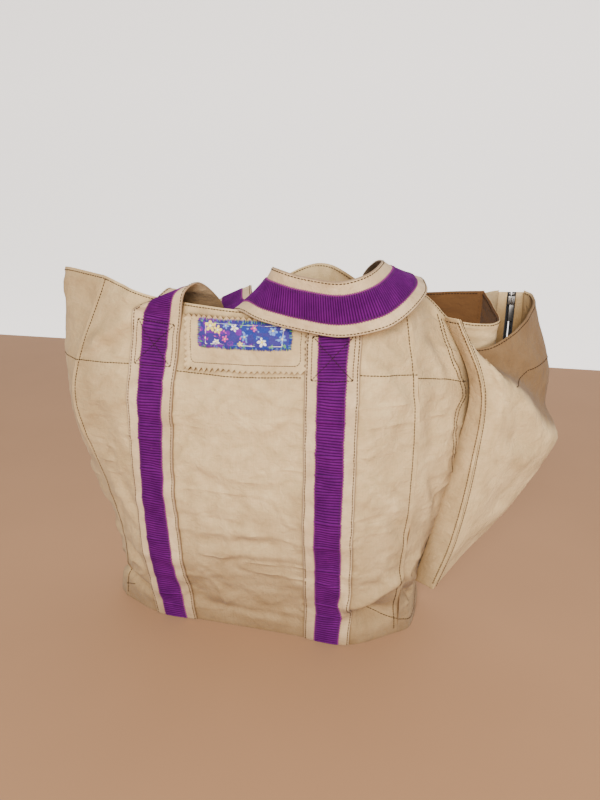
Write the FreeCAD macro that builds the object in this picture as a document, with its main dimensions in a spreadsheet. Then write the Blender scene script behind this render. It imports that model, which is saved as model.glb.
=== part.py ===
import FreeCAD, Part

import math
import os

V = FreeCAD.Vector

# Canvas tote bag with two purple-ribbon handles, a maker's patch on the front
# and a bellows pocket with an upright zip on its right-hand end.
# Frame: millimetres, +Z up, origin under the middle of the base, +X to the right
# along the front panel, +Y to the back. The front panel faces -Y.

# ---------------------------------------------------------------- dimensions
SIZES = [
    # alias, value, what it is
    ("canvas_gauge", 1.2, "thickness of one layer of canvas"),
    ("strap_gauge", 1.8, "thickness of the folded strap canvas on the bag"),
    ("handle_gauge", 2.4, "thickness of the folded canvas in a handle loop"),
    ("ribbon_gauge", 0.7, "thickness of the grosgrain ribbon"),
    ("layer_gap", 0.12, "gap between the flat layers under the base"),
    ("curved_gap", 0.5, "gap between sewn layers on curved cloth"),
    ("seam_gap", 1.3, "each panel's edge to the seam line"),
    ("strap_width", 52.0, "width of the strap canvas"),
    ("ribbon_width", 30.0, "width of the ribbon"),
    ("facing_depth", 74.0, "depth of the turned-in top facing"),
    ("base_front", 54.0, "base front edge, forward of the origin"),
    ("base_back", 60.0, "base back edge, behind the origin"),
    ("wall_foot", 0.4, "height of the walls' lower edge above the surface"),
    ("strap_rise", 2.9, "height the base canvas is lifted by a strap under it"),
    ("front_left_strap_x", -91.0, "left strap centre at the base"),
    ("front_right_strap_x", 93.0, "right strap centre at the base"),
    ("patch_width", 122.0, "pinked patch, width"),
    ("patch_height", 56.0, "pinked patch, height"),
    ("label_width", 104.0, "printed label, width"),
    ("label_height", 34.0, "printed label, height"),
    ("zip_length", 190.0, "length of the closed zip"),
    ("zip_tape_width", 12.0, "width of one zip tape"),
    ("zip_tape_gauge", 0.8, "thickness of a zip tape"),
    ("zip_coil_width", 5.0, "width of the meshed coil"),
    ("zip_coil_gauge", 2.0, "thickness of the meshed coil"),
    ("slider_length", 10.0, "zip slider, length"),
    ("slider_width", 8.0, "zip slider, width"),
    ("pull_length", 24.0, "zip pull, length"),
    ("pull_width", 5.0, "zip pull, width"),
    ("pull_gauge", 1.2, "zip pull, thickness"),
]

doc = FreeCAD.newDocument("canvas_tote_bag")
sheet = doc.addObject("Spreadsheet::Sheet", "sizes")
for row, (alias, value, note) in enumerate(SIZES, start=1):
    sheet.set("A%d" % row, alias)
    sheet.set("B%d" % row, str(value))
    sheet.set("C%d" % row, note)
    sheet.setAlias("B%d" % row, alias)
doc.recompute()


def size(alias):
    return float(getattr(sheet, alias))


parts = []


def keep(obj, label):
    obj.Label = label
    parts.append(obj)
    return obj


def feature(label, shape, placement=None):
    """A sewn cloth piece whose shape is built from its surfaces."""
    obj = doc.addObject("Part::Feature", label)
    obj.Shape = shape
    obj.Placement = placement or FreeCAD.Placement()
    return keep(obj, label)


# ------------------------------------------------------------ cloth surfaces
def spread(low, high, count):
    return [low + (high - low) * i / (count - 1.0) for i in range(count)]


def clamp(value, low, high):
    return max(low, min(high, value))


def through(points, stations, s):
    """Smooth curve through points at uneven stations, with finite-difference slopes."""
    last = len(points) - 1
    i = 0
    while i < last - 1 and s > stations[i + 1]:
        i += 1

    def slope(k):
        low, high = max(k - 1, 0), min(k + 1, last)
        return (points[high] - points[low]) * (1.0 / (stations[high] - stations[low]))

    span = stations[i + 1] - stations[i]
    t = (s - stations[i]) / span
    return (points[i] * (2 * t ** 3 - 3 * t ** 2 + 1)
            + slope(i) * (span * (t ** 3 - 2 * t ** 2 + t))
            + points[i + 1] * (3 * t ** 2 - 2 * t ** 3)
            + slope(i + 1) * (span * (t ** 3 - t ** 2)))


def chord_stations(rows):
    """Stations from 0 to 1, spaced by the mean distance between neighbouring points."""
    stations = [0.0]
    for i in range(len(rows[0]) - 1):
        lengths = [(row[i + 1] - row[i]).Length for row in rows]
        stations.append(stations[-1] + sum(lengths) / len(lengths))
    return [s / stations[-1] for s in stations]


class Cloth:
    """Smooth sheet through columns of points; u runs across the columns, v up them."""

    def __init__(self, columns):
        self.columns = columns
        self.v_stations = chord_stations(columns)
        self.u_stations = chord_stations(list(zip(*columns)))

    def point(self, u, v):
        row = [through(column, self.v_stations, v) for column in self.columns]
        return through(row, self.u_stations, u)

    def normal(self, u, v):
        step = 0.004
        across = self.point(clamp(u + step, 0, 1), v) - self.point(clamp(u - step, 0, 1), v)
        along = self.point(u, clamp(v + step, 0, 1)) - self.point(u, clamp(v - step, 0, 1))
        return across.cross(along).normalize()

    def off(self, u, v, offset):
        return self.point(u, v) + self.normal(u, v) * offset


def spline_poles(points):
    """Poles of the C1 cubic spline through evenly stepped points."""
    last = len(points) - 1
    poles = [points[0]]
    for i, point in enumerate(points):
        low, high = max(i - 1, 0), min(i + 1, last)
        step = (points[high] - points[low]) * (1.0 / (3 * (high - low)))
        if i > 0:
            poles.append(point - step)
        if i < last:
            poles.append(point + step)
    poles.append(points[-1])
    return poles


def surface_through(grid):
    """B-spline surface through every point of a grid, given as columns."""
    columns = [spline_poles(column) for column in grid]
    rows = [spline_poles(list(row)) for row in zip(*columns)]
    poles = [list(column) for column in zip(*rows)]
    u_count, v_count = len(grid), len(grid[0])
    surface = Part.BSplineSurface()
    surface.buildFromPolesMultsKnots(
        poles,
        [4] + [2] * (u_count - 2) + [4],
        [4] + [2] * (v_count - 2) + [4],
        [float(i) for i in range(u_count)],
        [float(i) for i in range(v_count)],
        False, False, 3, 3)
    return surface


def solid_between(inner_grid, outer_grid):
    """Closed solid between two matching grids of points."""
    inner = surface_through(inner_grid)
    outer = surface_through(outer_grid)
    faces = [inner.toShape(), outer.toShape()]
    iu0, iu1, iv0, iv1 = inner.bounds()
    ou0, ou1, ov0, ov1 = outer.bounds()
    rims = [
        (inner.uIso(iu0), outer.uIso(ou0)),
        (inner.uIso(iu1), outer.uIso(ou1)),
        (inner.vIso(iv0), outer.vIso(ov0)),
        (inner.vIso(iv1), outer.vIso(ov1)),
    ]
    for inner_edge, outer_edge in rims:
        faces.append(Part.makeRuledSurface(inner_edge.toShape(), outer_edge.toShape()))
    shell = Part.makeShell(faces)
    shell.sewShape()
    solid = Part.makeSolid(Part.Shell(shell.Faces))
    if solid.Volume < 0:
        solid.reverse()
    return solid


def patch(surface, u_of, v_range, low, high, columns=9, rows=9):
    """Solid layer on a surface, between the offsets low and high.

    u_of(v) gives the two ends of the layer along u at each v.
    """
    inner_grid = []
    outer_grid = []
    for a in spread(0.0, 1.0, columns):
        inner_column = []
        outer_column = []
        for v in spread(v_range[0], v_range[1], rows):
            u_low, u_high = u_of(v)
            u = u_low + (u_high - u_low) * a
            inner_column.append(surface.off(u, v, low))
            outer_column.append(surface.off(u, v, high))
        inner_grid.append(inner_column)
        outer_grid.append(outer_column)
    return solid_between(inner_grid, outer_grid)


def u_at_x(surface, x, v):
    """u where the surface crosses the plane at x, on the row v (x grows with u)."""
    sign = 1.0 if surface.point(1.0, v).x > surface.point(0.0, v).x else -1.0
    low, high = 0.0, 1.0
    for _ in range(40):
        middle = (low + high) / 2.0
        if (surface.point(middle, v).x - x) * sign < 0:
            low = middle
        else:
            high = middle
    return (low + high) / 2.0


def v_at_height(surface, u, height):
    low, high = 0.0, 1.0
    for _ in range(40):
        middle = (low + high) / 2.0
        if surface.point(u, middle).z < height:
            low = middle
        else:
            high = middle
    return (low + high) / 2.0


# ---------------------------------------------------------------- bag outline
# Upright ribs of the bag, in order round it from the left seam, anticlockwise
# seen from below. Each rib has its x and y at the base and at three heights,
# then its x, y and height at the rim, where the bag is soft and uneven.
LEVELS = (90.0, 170.0, 285.0)
RIBS = {
    "left_seam": [(-172, -34), (-157, -50), (-167, -60), (-187, -75), (-148, -55, 407)],
    "left_strap_edge": [(-117, -55), (-116, -70), (-115, -79), (-117, -82), (-90, -72, 391)],
    "front_left": [(-50, -55), (-50, -71), (-48, -82), (-45, -84), (-30, -74, 383)],
    "front_right": [(50, -55), (50, -71), (52, -82), (52, -85), (55, -77, 380)],
    "right_strap_edge": [(119, -55), (122, -70), (125, -79), (126, -83), (124, -76, 391)],
    "right_seam": [(170, -20), (173, -36), (180, -43), (181, -46), (164, -42, 395)],
    "side_fold": [(182, -8), (184, -16), (202, -16), (206, -18), (179, 8, 390)],
    "pocket_edge": [(186, 10), (190, 4), (213, 2), (225, 2), (204, 8, 366)],
    "right_end": [(187, 32), (196, 34), (228, 34), (247, 36), (253, 30, 362)],
    "far_corner": [(182, 58), (192, 62), (216, 66), (232, 70), (236, 71, 387)],
    "back_right": [(110, 60), (115, 66), (125, 72), (130, 74), (125, 70, 384)],
    "back_middle": [(35, 60), (38, 67), (40, 74), (42, 76), (50, 68, 412)],
    "back_left": [(-60, 60), (-60, 66), (-60, 72), (-60, 72), (-58, 62, 357)],
    "left_back_corner": [(-168, 54), (-160, 56), (-166, 56), (-172, 50), (-160, 34, 352)],
    "left_peak": [(-184, -14), (-177, -16), (-193, -22), (-208, -34), (-204, -30, 410)],
}


def rib_points(name):
    foot = size("wall_foot")
    rib = RIBS[name]
    points = [V(rib[0][0], rib[0][1], foot)]
    for (x, y), height in zip(rib[1:4], LEVELS):
        points.append(V(x, y, height))
    points.append(V(*rib[4]))
    return points


def wall(names):
    return Cloth([rib_points(name) for name in names])


FULL = (0.0, 1.0)


def between_seams(surface):
    """Ends of a panel along u, short of its seams by the seam gap."""
    points = [surface.point(u, 0.5) for u in spread(0.0, 1.0, 41)]
    width = sum((b - a).Length for a, b in zip(points, points[1:]))
    margin = size("seam_gap") / width
    return (margin, 1.0 - margin)


def outward(surface, toward):
    """+1 or -1, whichever makes the surface normal point to the given side."""
    return 1.0 if surface.normal(0.5, 0.5).dot(toward) > 0 else -1.0


def layer(surface, side, u_of, v_range, near, far, columns=9, rows=9):
    """Layer between two distances outward (positive) or inward (negative)."""
    low, high = sorted((near * side, far * side))
    return patch(surface, u_of, v_range, low, high, columns, rows)


front_wall = wall(["left_seam", "left_strap_edge", "front_left", "front_right",
                   "right_strap_edge", "right_seam"])
right_wall = wall(["right_seam", "side_fold", "pocket_edge", "right_end", "far_corner"])
back_wall = wall(["far_corner", "back_right", "back_middle", "back_left",
                  "left_back_corner", "left_peak", "left_seam"])
front_side = outward(front_wall, V(0, -1, 0))
right_side = outward(right_wall, V(1, 0, 0))
back_side = outward(back_wall, V(0, 1, 0))

canvas = size("canvas_gauge")
gap = size("curved_gap")


# --------------------------------------------------------------- bag panels
def make_panels():
    for label, surface, side, columns in (
        ("front_panel", front_wall, front_side, 15),
        ("right_side_panel", right_wall, right_side, 13),
        ("back_panel", back_wall, back_side, 19),
    ):
        ends = between_seams(surface)
        feature(label, layer(surface, side, lambda _v, e=ends: e, FULL, -canvas, 0.0,
                             columns, 9))


def make_facings():
    """Turned-in bands inside the top of the panels."""
    depth = size("facing_depth")
    for label, surface, side, ends in (
        ("front_facing", front_wall, front_side, (0.03, 0.97)),
        ("back_facing", back_wall, back_side, (0.06, 0.94)),
    ):
        rim_height = surface.point(0.5, 1.0).z
        v_low = v_at_height(surface, 0.5, rim_height - depth)
        feature(label, layer(surface, side, lambda _v, e=ends: e, (v_low, 0.995),
                             -2 * canvas - gap, -canvas - gap, 15, 6))


def outline_body(name, plane_role, points, length, both_ways=False):
    """Closed polygon drawn as a sketch on an origin plane and padded."""
    body = doc.addObject("PartDesign::Body", name + "_body")
    plane = [f for f in body.Origin.OriginFeatures if f.Role == plane_role][0]
    sketch = body.newObject("Sketcher::SketchObject", name + "_sketch")
    sketch.AttachmentSupport = [(plane, "")]
    sketch.MapMode = "FlatFace"
    for start, end in zip(points, points[1:] + points[:1]):
        sketch.addGeometry(Part.LineSegment(start, end), False)
    pad = body.newObject("PartDesign::Pad", name + "_pad")
    pad.Profile = sketch
    pad.Midplane = both_ways
    pad.Length = length
    body.Tip = pad
    return body


def make_base():
    """Base canvas inside the walls' feet: it lies on the surface, but the two straps
    that run on under it lift it in two flat steps."""
    inset = 3.0
    outline = []
    for name in RIBS:
        x, y = RIBS[name][0]
        reach = math.hypot(x, y)
        outline.append(V(x * (1 - inset / reach), y * (1 - inset / reach), 0))
    rise = size("strap_rise")
    flat_half = size("strap_width") / 2.0 + 1.5
    step_half = flat_half + 2.0
    line = [(-220.0, 0.0)]
    for alias in ("front_left_strap_x", "front_right_strap_x"):
        centre = size(alias)
        line += [(centre - step_half, 0.0), (centre - flat_half, rise),
                 (centre + flat_half, rise), (centre + step_half, 0.0)]
    line.append((220.0, 0.0))
    lower = [V(x, z, 0) for x, z in line]
    upper = [V(x, z + canvas, 0) for x, z in reversed(line)]
    plan = outline_body("base_outline", "XY_Plane", outline, rise + 2 * canvas)
    profile = outline_body("base_profile", "XZ_Plane", lower + upper, 300.0, True)
    base = doc.addObject("Part::Common", "base_canvas")
    base.Base = plan
    base.Tool = profile
    keep(base, "base_panel")


# ------------------------------------------------------------------- straps
# Strap centre lines on the bag: x at the base, at mid height and at the rim.
STRAPS = {
    "front_left": (front_wall, front_side, (-91, -94, -78), 0.985),
    "front_right": (front_wall, front_side, (93, 99, 100), 0.985),
    "back_left": (back_wall, back_side, (-91, -70, -52), 0.985),
    "back_right": (back_wall, back_side, (93, 118, 128), 0.985),
}


def strap_centre(xs, v):
    """Quadratic through the three given x values."""
    a, b, c = xs
    return a * (1 - v) * (1 - 2 * v) + 4 * b * v * (1 - v) + c * v * (2 * v - 1)


def strap_ends(surface, xs, width):
    def ends(v):
        centre = strap_centre(xs, v)
        u_one = u_at_x(surface, centre - width / 2.0, v)
        u_two = u_at_x(surface, centre + width / 2.0, v)
        return (min(u_one, u_two), max(u_one, u_two))
    return ends


def make_strap_runs():
    strap = size("strap_gauge")
    ribbon = size("ribbon_gauge")
    for name, (surface, side, xs, top) in STRAPS.items():
        v_range = (0.006, top)
        canvas_ends = strap_ends(surface, xs, size("strap_width"))
        ribbon_ends = strap_ends(surface, xs, size("ribbon_width"))
        feature(name + "_strap", layer(surface, side, canvas_ends, v_range,
                                       gap, gap + strap, 4, 13))
        feature(name + "_ribbon", layer(surface, side, ribbon_ends, v_range,
                                        2 * gap + strap, 2 * gap + strap + ribbon, 4, 13))


def box(label, expressions):
    obj = doc.addObject("Part::Box", label)
    for key, expression in expressions.items():
        obj.setExpression(key, expression)
    return keep(obj, label)


def make_under_straps():
    """The straps run on under the base, ribbon side down; the bag stands on them."""
    run = "sizes.base_front + sizes.base_back - 4"
    for side_name in ("left", "right"):
        centre = "sizes.front_%s_strap_x" % side_name
        box("under_%s_ribbon" % side_name, {
            "Length": "sizes.ribbon_width",
            "Width": run,
            "Height": "sizes.ribbon_gauge",
            "Placement.Base.x": centre + " - sizes.ribbon_width / 2",
            "Placement.Base.y": "-sizes.base_front + 2",
            "Placement.Base.z": "0",
        })
        box("under_%s_strap" % side_name, {
            "Length": "sizes.strap_width",
            "Width": run,
            "Height": "sizes.strap_gauge",
            "Placement.Base.x": centre + " - sizes.strap_width / 2",
            "Placement.Base.y": "-sizes.base_front + 2",
            "Placement.Base.z": "sizes.ribbon_gauge + sizes.layer_gap",
        })


# ------------------------------------------------------------ patch and label
def make_patch_and_label():
    top = 378.0
    middle_x = 9.0
    for label, width, height, drop, low, thickness in (
        ("maker_patch", size("patch_width"), size("patch_height"), 0.0, gap, canvas),
        ("printed_label", size("label_width"), size("label_height"), 6.0,
         2 * gap + canvas, 0.3),
    ):
        v_low = v_at_height(front_wall, 0.5, top - drop - height)
        v_high = v_at_height(front_wall, 0.5, top - drop)
        ends = strap_ends(front_wall, (middle_x, middle_x, middle_x), width)
        feature(label, layer(front_wall, front_side, ends, (v_low, v_high),
                             low, low + thickness, 7, 4))


# -------------------------------------------------------------- side pocket
# Outer face of the bellows pocket: columns from its near seam to the zip.
POCKET_FACE = [
    [(208, -10, 60), (226, -12, 125), (239, -14, 220), (241, -14, 300), (213, -8, 369)],
    [(238, 8, 100), (256, 4, 150), (266, 4, 220), (262, 6, 290), (236, 8, 338)],
    [(274, 34, 138), (288, 32, 170), (297, 34, 225), (292, 36, 290), (270, 38, 352)],
    [(296, 64, 176), (310, 66, 210), (318, 68, 250), (312, 72, 305), (288, 78, 372)],
    [(290, 92, 186), (300, 94, 220), (306, 96, 260), (302, 96, 310), (288, 94, 380)],
    [(281, 108, 186), (281, 108, 230), (281, 108, 280), (281, 108, 330), (281, 108, 384)],
]
# Near bellows: a strip between the bag's side wall and the near pinched seam.
NEAR_BELLOWS = [
    [(187, 0, 60), (204, -3, 125), (222, -3, 220), (230, -4, 300), (199, -1, 369)],
    [(207, -12, 60), (225, -14, 125), (238, -16, 220), (240, -16, 300), (211, -10, 369)],
]
# Far bellows: from the bag's far corner to the zip.
FAR_BELLOWS = [
    [(222, 72, 186), (230, 74, 230), (237, 75, 280), (241, 76, 330), (241, 76, 385)],
    [(252, 102, 186), (252, 102, 230), (252, 102, 280), (252, 102, 330), (252, 102, 384)],
]
# Bottom bellows: from the face's lower edge back to the bag's side wall.
BOTTOM_BELLOWS = [
    [(190, 2, 61), (206, -9, 57)],
    [(202, 26, 96), (236, 9, 97)],
    [(212, 42, 128), (272, 34, 134)],
    [(219, 52, 158), (293, 62, 171)],
    [(223, 66, 180), (287, 90, 181)],
    [(226, 72, 184), (268, 105, 183)],
]


def as_vectors(table):
    return [[V(*point) for point in column] for column in table]


def midway(columns):
    """Adds the middle column of a two-column strip."""
    first, last = columns
    middle = [(a + b) * 0.5 for a, b in zip(first, last)]
    return [first, middle, last]


def with_middle_rows(table):
    return [[column[0], (column[0] + column[1]) * 0.5, column[1]] for column in table]


def make_pocket():
    face = Cloth(as_vectors(POCKET_FACE))
    face_side = outward(face, V(1, -0.5, 0))
    feature("pocket_face", layer(face, face_side, lambda _v: FULL, FULL, -canvas, 0.0, 13, 9))
    feature("pocket_hem", layer(face, face_side, lambda _v: (0.06, 0.94), (0.8, 0.99),
                                -2 * canvas - gap, -canvas - gap, 13, 4))
    near = Cloth(midway(as_vectors(NEAR_BELLOWS)))
    feature("pocket_near_bellows", layer(near, outward(near, V(0, -1, 0)), lambda _v: FULL,
                                         FULL, -canvas, 0.0, 3, 9))
    far = Cloth(midway(as_vectors(FAR_BELLOWS)))
    feature("pocket_far_bellows", layer(far, outward(far, V(-1, 1, 0)), lambda _v: FULL,
                                        FULL, -canvas, 0.0, 3, 9))
    bottom = Cloth(with_middle_rows(as_vectors(BOTTOM_BELLOWS)))
    feature("pocket_bottom_bellows", layer(bottom, outward(bottom, V(0.3, 0, -1)),
                                           lambda _v: (0.01, 0.99), (0.02, 0.98),
                                           -canvas, 0.0, 9, 3))


# ------------------------------------------------------------- handle loops
# Each loop is a strap that leaves one sewn run, arches over and comes back to
# the other. A station is a centre point and the direction of the strap's width.
# The front handle has fallen back into the bag.
FRONT_LOOP = [
    ((-78, -78, 394), (1, 0, 0)),
    ((-77, -70, 402), (1, 0, 0)),
    ((-71, -52, 402), (1, 0, 0)),
    ((-66, -34, 382), (0.97, 0.05, -0.2)),
    ((-60, -14, 350), (0.85, 0.25, 0.3)),
    ((-34, 5, 325), (0.45, 0.5, 0.7)),
    ((11, 16, 316), (0, 0.62, 0.78)),
    ((54, 6, 327), (-0.45, 0.5, 0.7)),
    ((77, -12, 352), (-0.85, 0.25, 0.3)),
    ((88, -32, 383), (-0.97, 0.05, -0.2)),
    ((96, -52, 402), (-1, 0, 0)),
    ((100, -70, 402), (-1, 0, 0)),
    ((100, -78, 394), (-1, 0, 0)),
]
# The back handle has fallen forward, over the mouth and the front rim.
BACK_LOOP = [
    ((-52, 69, 363), (0.91, 0, 0.42)),
    ((-51, 60, 375), (0.91, 0, 0.42)),
    ((-40, 24, 379), (0.88, 0.1, 0.45)),
    ((-20, -12, 386), (0.8, 0.3, 0.5)),
    ((-6, -45, 394), (0.7, 0.55, 0.45)),
    ((8, -72, 401), (0.6, 0.6, 0.53)),
    ((34, -90, 396), (0.3, 0.35, 0.88)),
    ((72, -97, 389), (0.05, 0.1, 1)),
    ((115, -101, 386), (-0.1, 0, 1)),
    ((150, -90, 396), (-0.4, -0.05, 0.9)),
    ((169, -56, 413), (-0.75, -0.2, 0.62)),
    ((158, -12, 415), (-0.9, -0.1, 0.4)),
    ((142, 35, 408), (-0.97, 0, 0.2)),
    ((130, 63, 401), (-1, 0, 0)),
    ((128, 74, 394), (-1, 0, 0)),
]


def loop_cloth(stations, width):
    columns = []
    for centre, across in stations:
        middle = V(*centre)
        half = V(*across).normalize() * (width / 2.0)
        columns.append([middle - half, middle, middle + half])
    return Cloth(columns)


def make_handles():
    loop = size("handle_gauge")
    ribbon = size("ribbon_gauge")
    margin = (1.0 - size("ribbon_width") / size("strap_width")) / 2.0
    for name, stations in (("front", FRONT_LOOP), ("back", BACK_LOOP)):
        cloth = loop_cloth(stations, size("strap_width"))
        side = 1.0 if name == "back" else -1.0
        side *= outward(cloth, V(0, -1, 0))
        feature(name + "_handle_canvas", layer(cloth, side, lambda _v: FULL, FULL,
                                               -loop, 0.0, 45, 5))
        feature(name + "_handle_ribbon", layer(cloth, side, lambda _v: FULL,
                                               (margin, 1 - margin), 0.2, 0.2 + ribbon, 45, 4))


# ---------------------------------------------------------------------- zip
# Upright zip in the pocket's far corner; its own frame has X across the tapes,
# -Y towards the inside of the pocket and Z up the zip.
ZIP_FOOT = V(267, 105.5, 192)
ZIP_TURN = 10.4
COIL_SPLIT = 0.7        # half of the gap that the slider's post runs in
zip_frame = FreeCAD.Placement(ZIP_FOOT, FreeCAD.Rotation(V(0, 0, 1), ZIP_TURN))


def zip_place(x, y, z):
    return zip_frame.multiply(FreeCAD.Placement(V(x, y, z), FreeCAD.Rotation()))


def zip_box(name, lengths, corner):
    obj = doc.addObject("Part::Box", name)
    for key, expression in zip(("Length", "Width", "Height"), lengths):
        obj.setExpression(key, expression)
    obj.Placement = zip_place(*corner)
    return obj


def make_zip():
    tape_width = size("zip_tape_width")
    coil = size("zip_coil_gauge")
    coil_half = size("zip_coil_width") / 2.0
    top = size("zip_length")
    for side_name, sign in (("bag_side", -1), ("pocket_side", 1)):
        tape_x = COIL_SPLIT if sign > 0 else -COIL_SPLIT - tape_width
        coil_x = COIL_SPLIT if sign > 0 else -COIL_SPLIT - coil_half
        keep(zip_box("tape_" + side_name,
                     ("sizes.zip_tape_width", "sizes.zip_tape_gauge", "sizes.zip_length"),
                     (tape_x, 0, 0)), "zip_tape_" + side_name)
        keep(zip_box("coil_" + side_name,
                     ("sizes.zip_coil_width / 2", "sizes.zip_coil_gauge", "sizes.zip_length - 8"),
                     (coil_x, -coil - 0.05, 3)), "zip_coil_" + side_name)
        keep(zip_box("top_stop_" + side_name,
                     ("sizes.zip_coil_width / 2", "sizes.zip_coil_gauge + 0.4", "2.4"),
                     (coil_x, -coil - 0.45, top - 3.2)), "zip_top_stop_" + side_name)
    bottom = zip_box("bottom_stop", ("sizes.zip_coil_width + 2.4", "sizes.zip_coil_gauge + 0.4", "2.6"),
                     (-coil_half - 1.2, -coil - 0.45, 0.2))
    keep(bottom, "zip_bottom_stop")


def make_slider():
    """Two plates on a thin post that runs between the coil's halves."""
    length = size("slider_length")
    width = size("slider_width")
    coil = size("zip_coil_gauge")
    base_z = size("zip_length") - 3.2 - 0.6 - length
    front = zip_box("slider_front", ("sizes.slider_width", "1.6", "sizes.slider_length"),
                    (-width / 2.0, -coil - 2.1, base_z))
    back = zip_box("slider_back", ("sizes.slider_width", "1.0", "sizes.slider_length"),
                   (-width / 2.0, size("zip_tape_gauge") + 0.4, base_z))
    post = zip_box("slider_post", ("0.8", "sizes.zip_coil_gauge + sizes.zip_tape_gauge + 1.6", "3"),
                   (-0.4, -coil - 0.8, base_z + length - 3.4))
    plates = doc.addObject("Part::MultiFuse", "slider_plates")
    plates.Shapes = [front, back, post]
    bail_low = zip_box("bail_low", ("2", "2.4", "1.4"), (-1, -coil - 4.4, base_z + 1.2))
    bail_high = zip_box("bail_high", ("2", "2.4", "1.4"), (-1, -coil - 4.4, base_z + 6.6))
    bail_bridge = zip_box("bail_bridge", ("2", "1", "6.8"), (-1, -coil - 5.3, base_z + 1.2))
    slider = doc.addObject("Part::MultiFuse", "slider_with_bail")
    slider.Shapes = [plates, bail_low, bail_high, bail_bridge]
    keep(slider, "zip_slider")


def make_pull():
    """Flat tab whose eye hangs on the slider's bail; it swings about its top bar."""
    half = size("pull_width") / 2.0
    long = size("pull_length")
    outline = [V(-half, 0.5, 0), V(half, 0.5, 0), V(half, -long + 1.5, 0), V(half - 1.5, -long, 0),
               V(1.5 - half, -long, 0), V(-half, -long + 1.5, 0)]
    tab = outline_body("pull_tab", "XZ_Plane", outline, size("pull_gauge"), True)
    eye = [V(-1.5, -0.5, 0), V(1.5, -0.5, 0), V(1.5, -5.2, 0), V(-1.5, -5.2, 0)]
    hole = outline_body("pull_eye", "XZ_Plane", eye, 4.0, True)
    coil = size("zip_coil_gauge")
    base_z = size("zip_length") - 3.8 - size("slider_length")
    place = zip_place(0, -coil - 3.2, base_z + 5.4)
    tab.Placement = place
    hole.Placement = place
    pull = doc.addObject("Part::Cut", "pull_with_eye")
    pull.Base = tab
    pull.Tool = hole
    keep(pull, "zip_pull")


make_panels()
make_facings()
make_base()
make_strap_runs()
make_under_straps()
make_patch_and_label()
make_pocket()
make_handles()
make_zip()
make_slider()
make_pull()

doc.recompute()
os.makedirs("parts", exist_ok=True)
for obj in doc.Objects:
    bad = [state for state in obj.State if state in ("Invalid", "Error")]
    if bad:
        raise RuntimeError("%s: %s" % (obj.Label, bad))
for obj in parts:
    shape = obj.Shape
    if shape.isNull() or not shape.isValid() or shape.Volume <= 0:
        raise RuntimeError("%s: bad shape" % obj.Label)
    shape.exportStep(os.path.join("parts", obj.Label + ".step"))
    print("%-24s volume %10.1f mm3" % (obj.Label, shape.Volume))
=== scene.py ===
import math

import bpy
import numpy as np
from mathutils import Matrix, Vector


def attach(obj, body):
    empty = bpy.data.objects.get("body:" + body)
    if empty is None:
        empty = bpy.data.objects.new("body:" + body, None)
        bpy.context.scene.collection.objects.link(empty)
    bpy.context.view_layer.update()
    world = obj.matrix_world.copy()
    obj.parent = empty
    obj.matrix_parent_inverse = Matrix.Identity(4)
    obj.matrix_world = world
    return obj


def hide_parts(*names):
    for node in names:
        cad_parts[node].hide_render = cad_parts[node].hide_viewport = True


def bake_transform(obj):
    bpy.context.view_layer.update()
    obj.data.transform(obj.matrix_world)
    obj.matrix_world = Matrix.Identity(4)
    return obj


# Canvas tote bag. Lengths in the tables are millimetres; meshes are made in metres.
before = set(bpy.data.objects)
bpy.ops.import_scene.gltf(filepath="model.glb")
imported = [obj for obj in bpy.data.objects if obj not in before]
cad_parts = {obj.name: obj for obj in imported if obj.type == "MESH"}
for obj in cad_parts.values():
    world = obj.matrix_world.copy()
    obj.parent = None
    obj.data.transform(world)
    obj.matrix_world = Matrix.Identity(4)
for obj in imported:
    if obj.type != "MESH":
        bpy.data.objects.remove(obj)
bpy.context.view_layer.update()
MM = 0.001

# ------------------------------------------------------------------ the tables
# Upright ribs of the walls: x and y at the foot and at three levels, then the rim's point.
FOOT = 0.4
LEVELS = (90.0, 170.0, 285.0)
RIBS = {
    "left_seam": [(-172, -34), (-157, -50), (-167, -60), (-187, -75), (-148, -55, 407)],
    "left_strap_edge": [(-117, -55), (-116, -70), (-115, -79), (-117, -82), (-90, -72, 391)],
    "front_left": [(-50, -55), (-50, -71), (-48, -82), (-45, -84), (-30, -74, 383)],
    "front_right": [(50, -55), (50, -71), (52, -82), (52, -85), (55, -77, 380)],
    "right_strap_edge": [(119, -55), (122, -70), (125, -79), (126, -83), (124, -76, 391)],
    "right_seam": [(170, -20), (173, -36), (180, -43), (181, -46), (164, -42, 395)],
    "side_fold": [(182, -8), (184, -16), (202, -16), (206, -18), (179, 8, 390)],
    "pocket_edge": [(186, 10), (190, 4), (213, 2), (225, 2), (204, 8, 366)],
    "right_end": [(187, 32), (196, 34), (228, 34), (247, 36), (253, 30, 362)],
    "far_corner": [(182, 58), (192, 62), (216, 66), (232, 70), (236, 71, 387)],
    "back_right": [(110, 60), (115, 66), (125, 72), (130, 74), (125, 70, 384)],
    "back_middle": [(35, 60), (38, 67), (40, 74), (42, 76), (50, 68, 412)],
    "back_left": [(-60, 60), (-60, 66), (-60, 72), (-60, 72), (-58, 62, 357)],
    "left_back_corner": [(-168, 54), (-160, 56), (-166, 56), (-172, 50), (-160, 34, 352)],
    "left_peak": [(-187, -14), (-180, -16), (-202, -22), (-213, -34), (-207, -30, 410)],
}
CLOTH = 1.2             # thickness of the walls' canvas
FACING_DEPTH = 74.0     # from the rim down to the turned-in facing's lower edge
FACE_HEIGHT = 230.0     # of the pocket's face, along its middle
HEM_ROW = 2.6           # from an edge to its row of stitches
STRAP_W = 52.0
HALF_T = 0.95           # half the thickness of the strap canvas
RIBBON_W = 28.0
RIB_PITCH = 2.5
WEAVE_PITCH = 0.62      # from yarn to yarn of the canvas
# Strap centre lines on the walls: x at the base, at mid height and at the rim.
STRAPS = {
    "front_left": (-91, -94, -78),
    "front_right": (93, 99, 100),
    "back_left": (-91, -70, -52),
    "back_right": (93, 118, 128),
}
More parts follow.
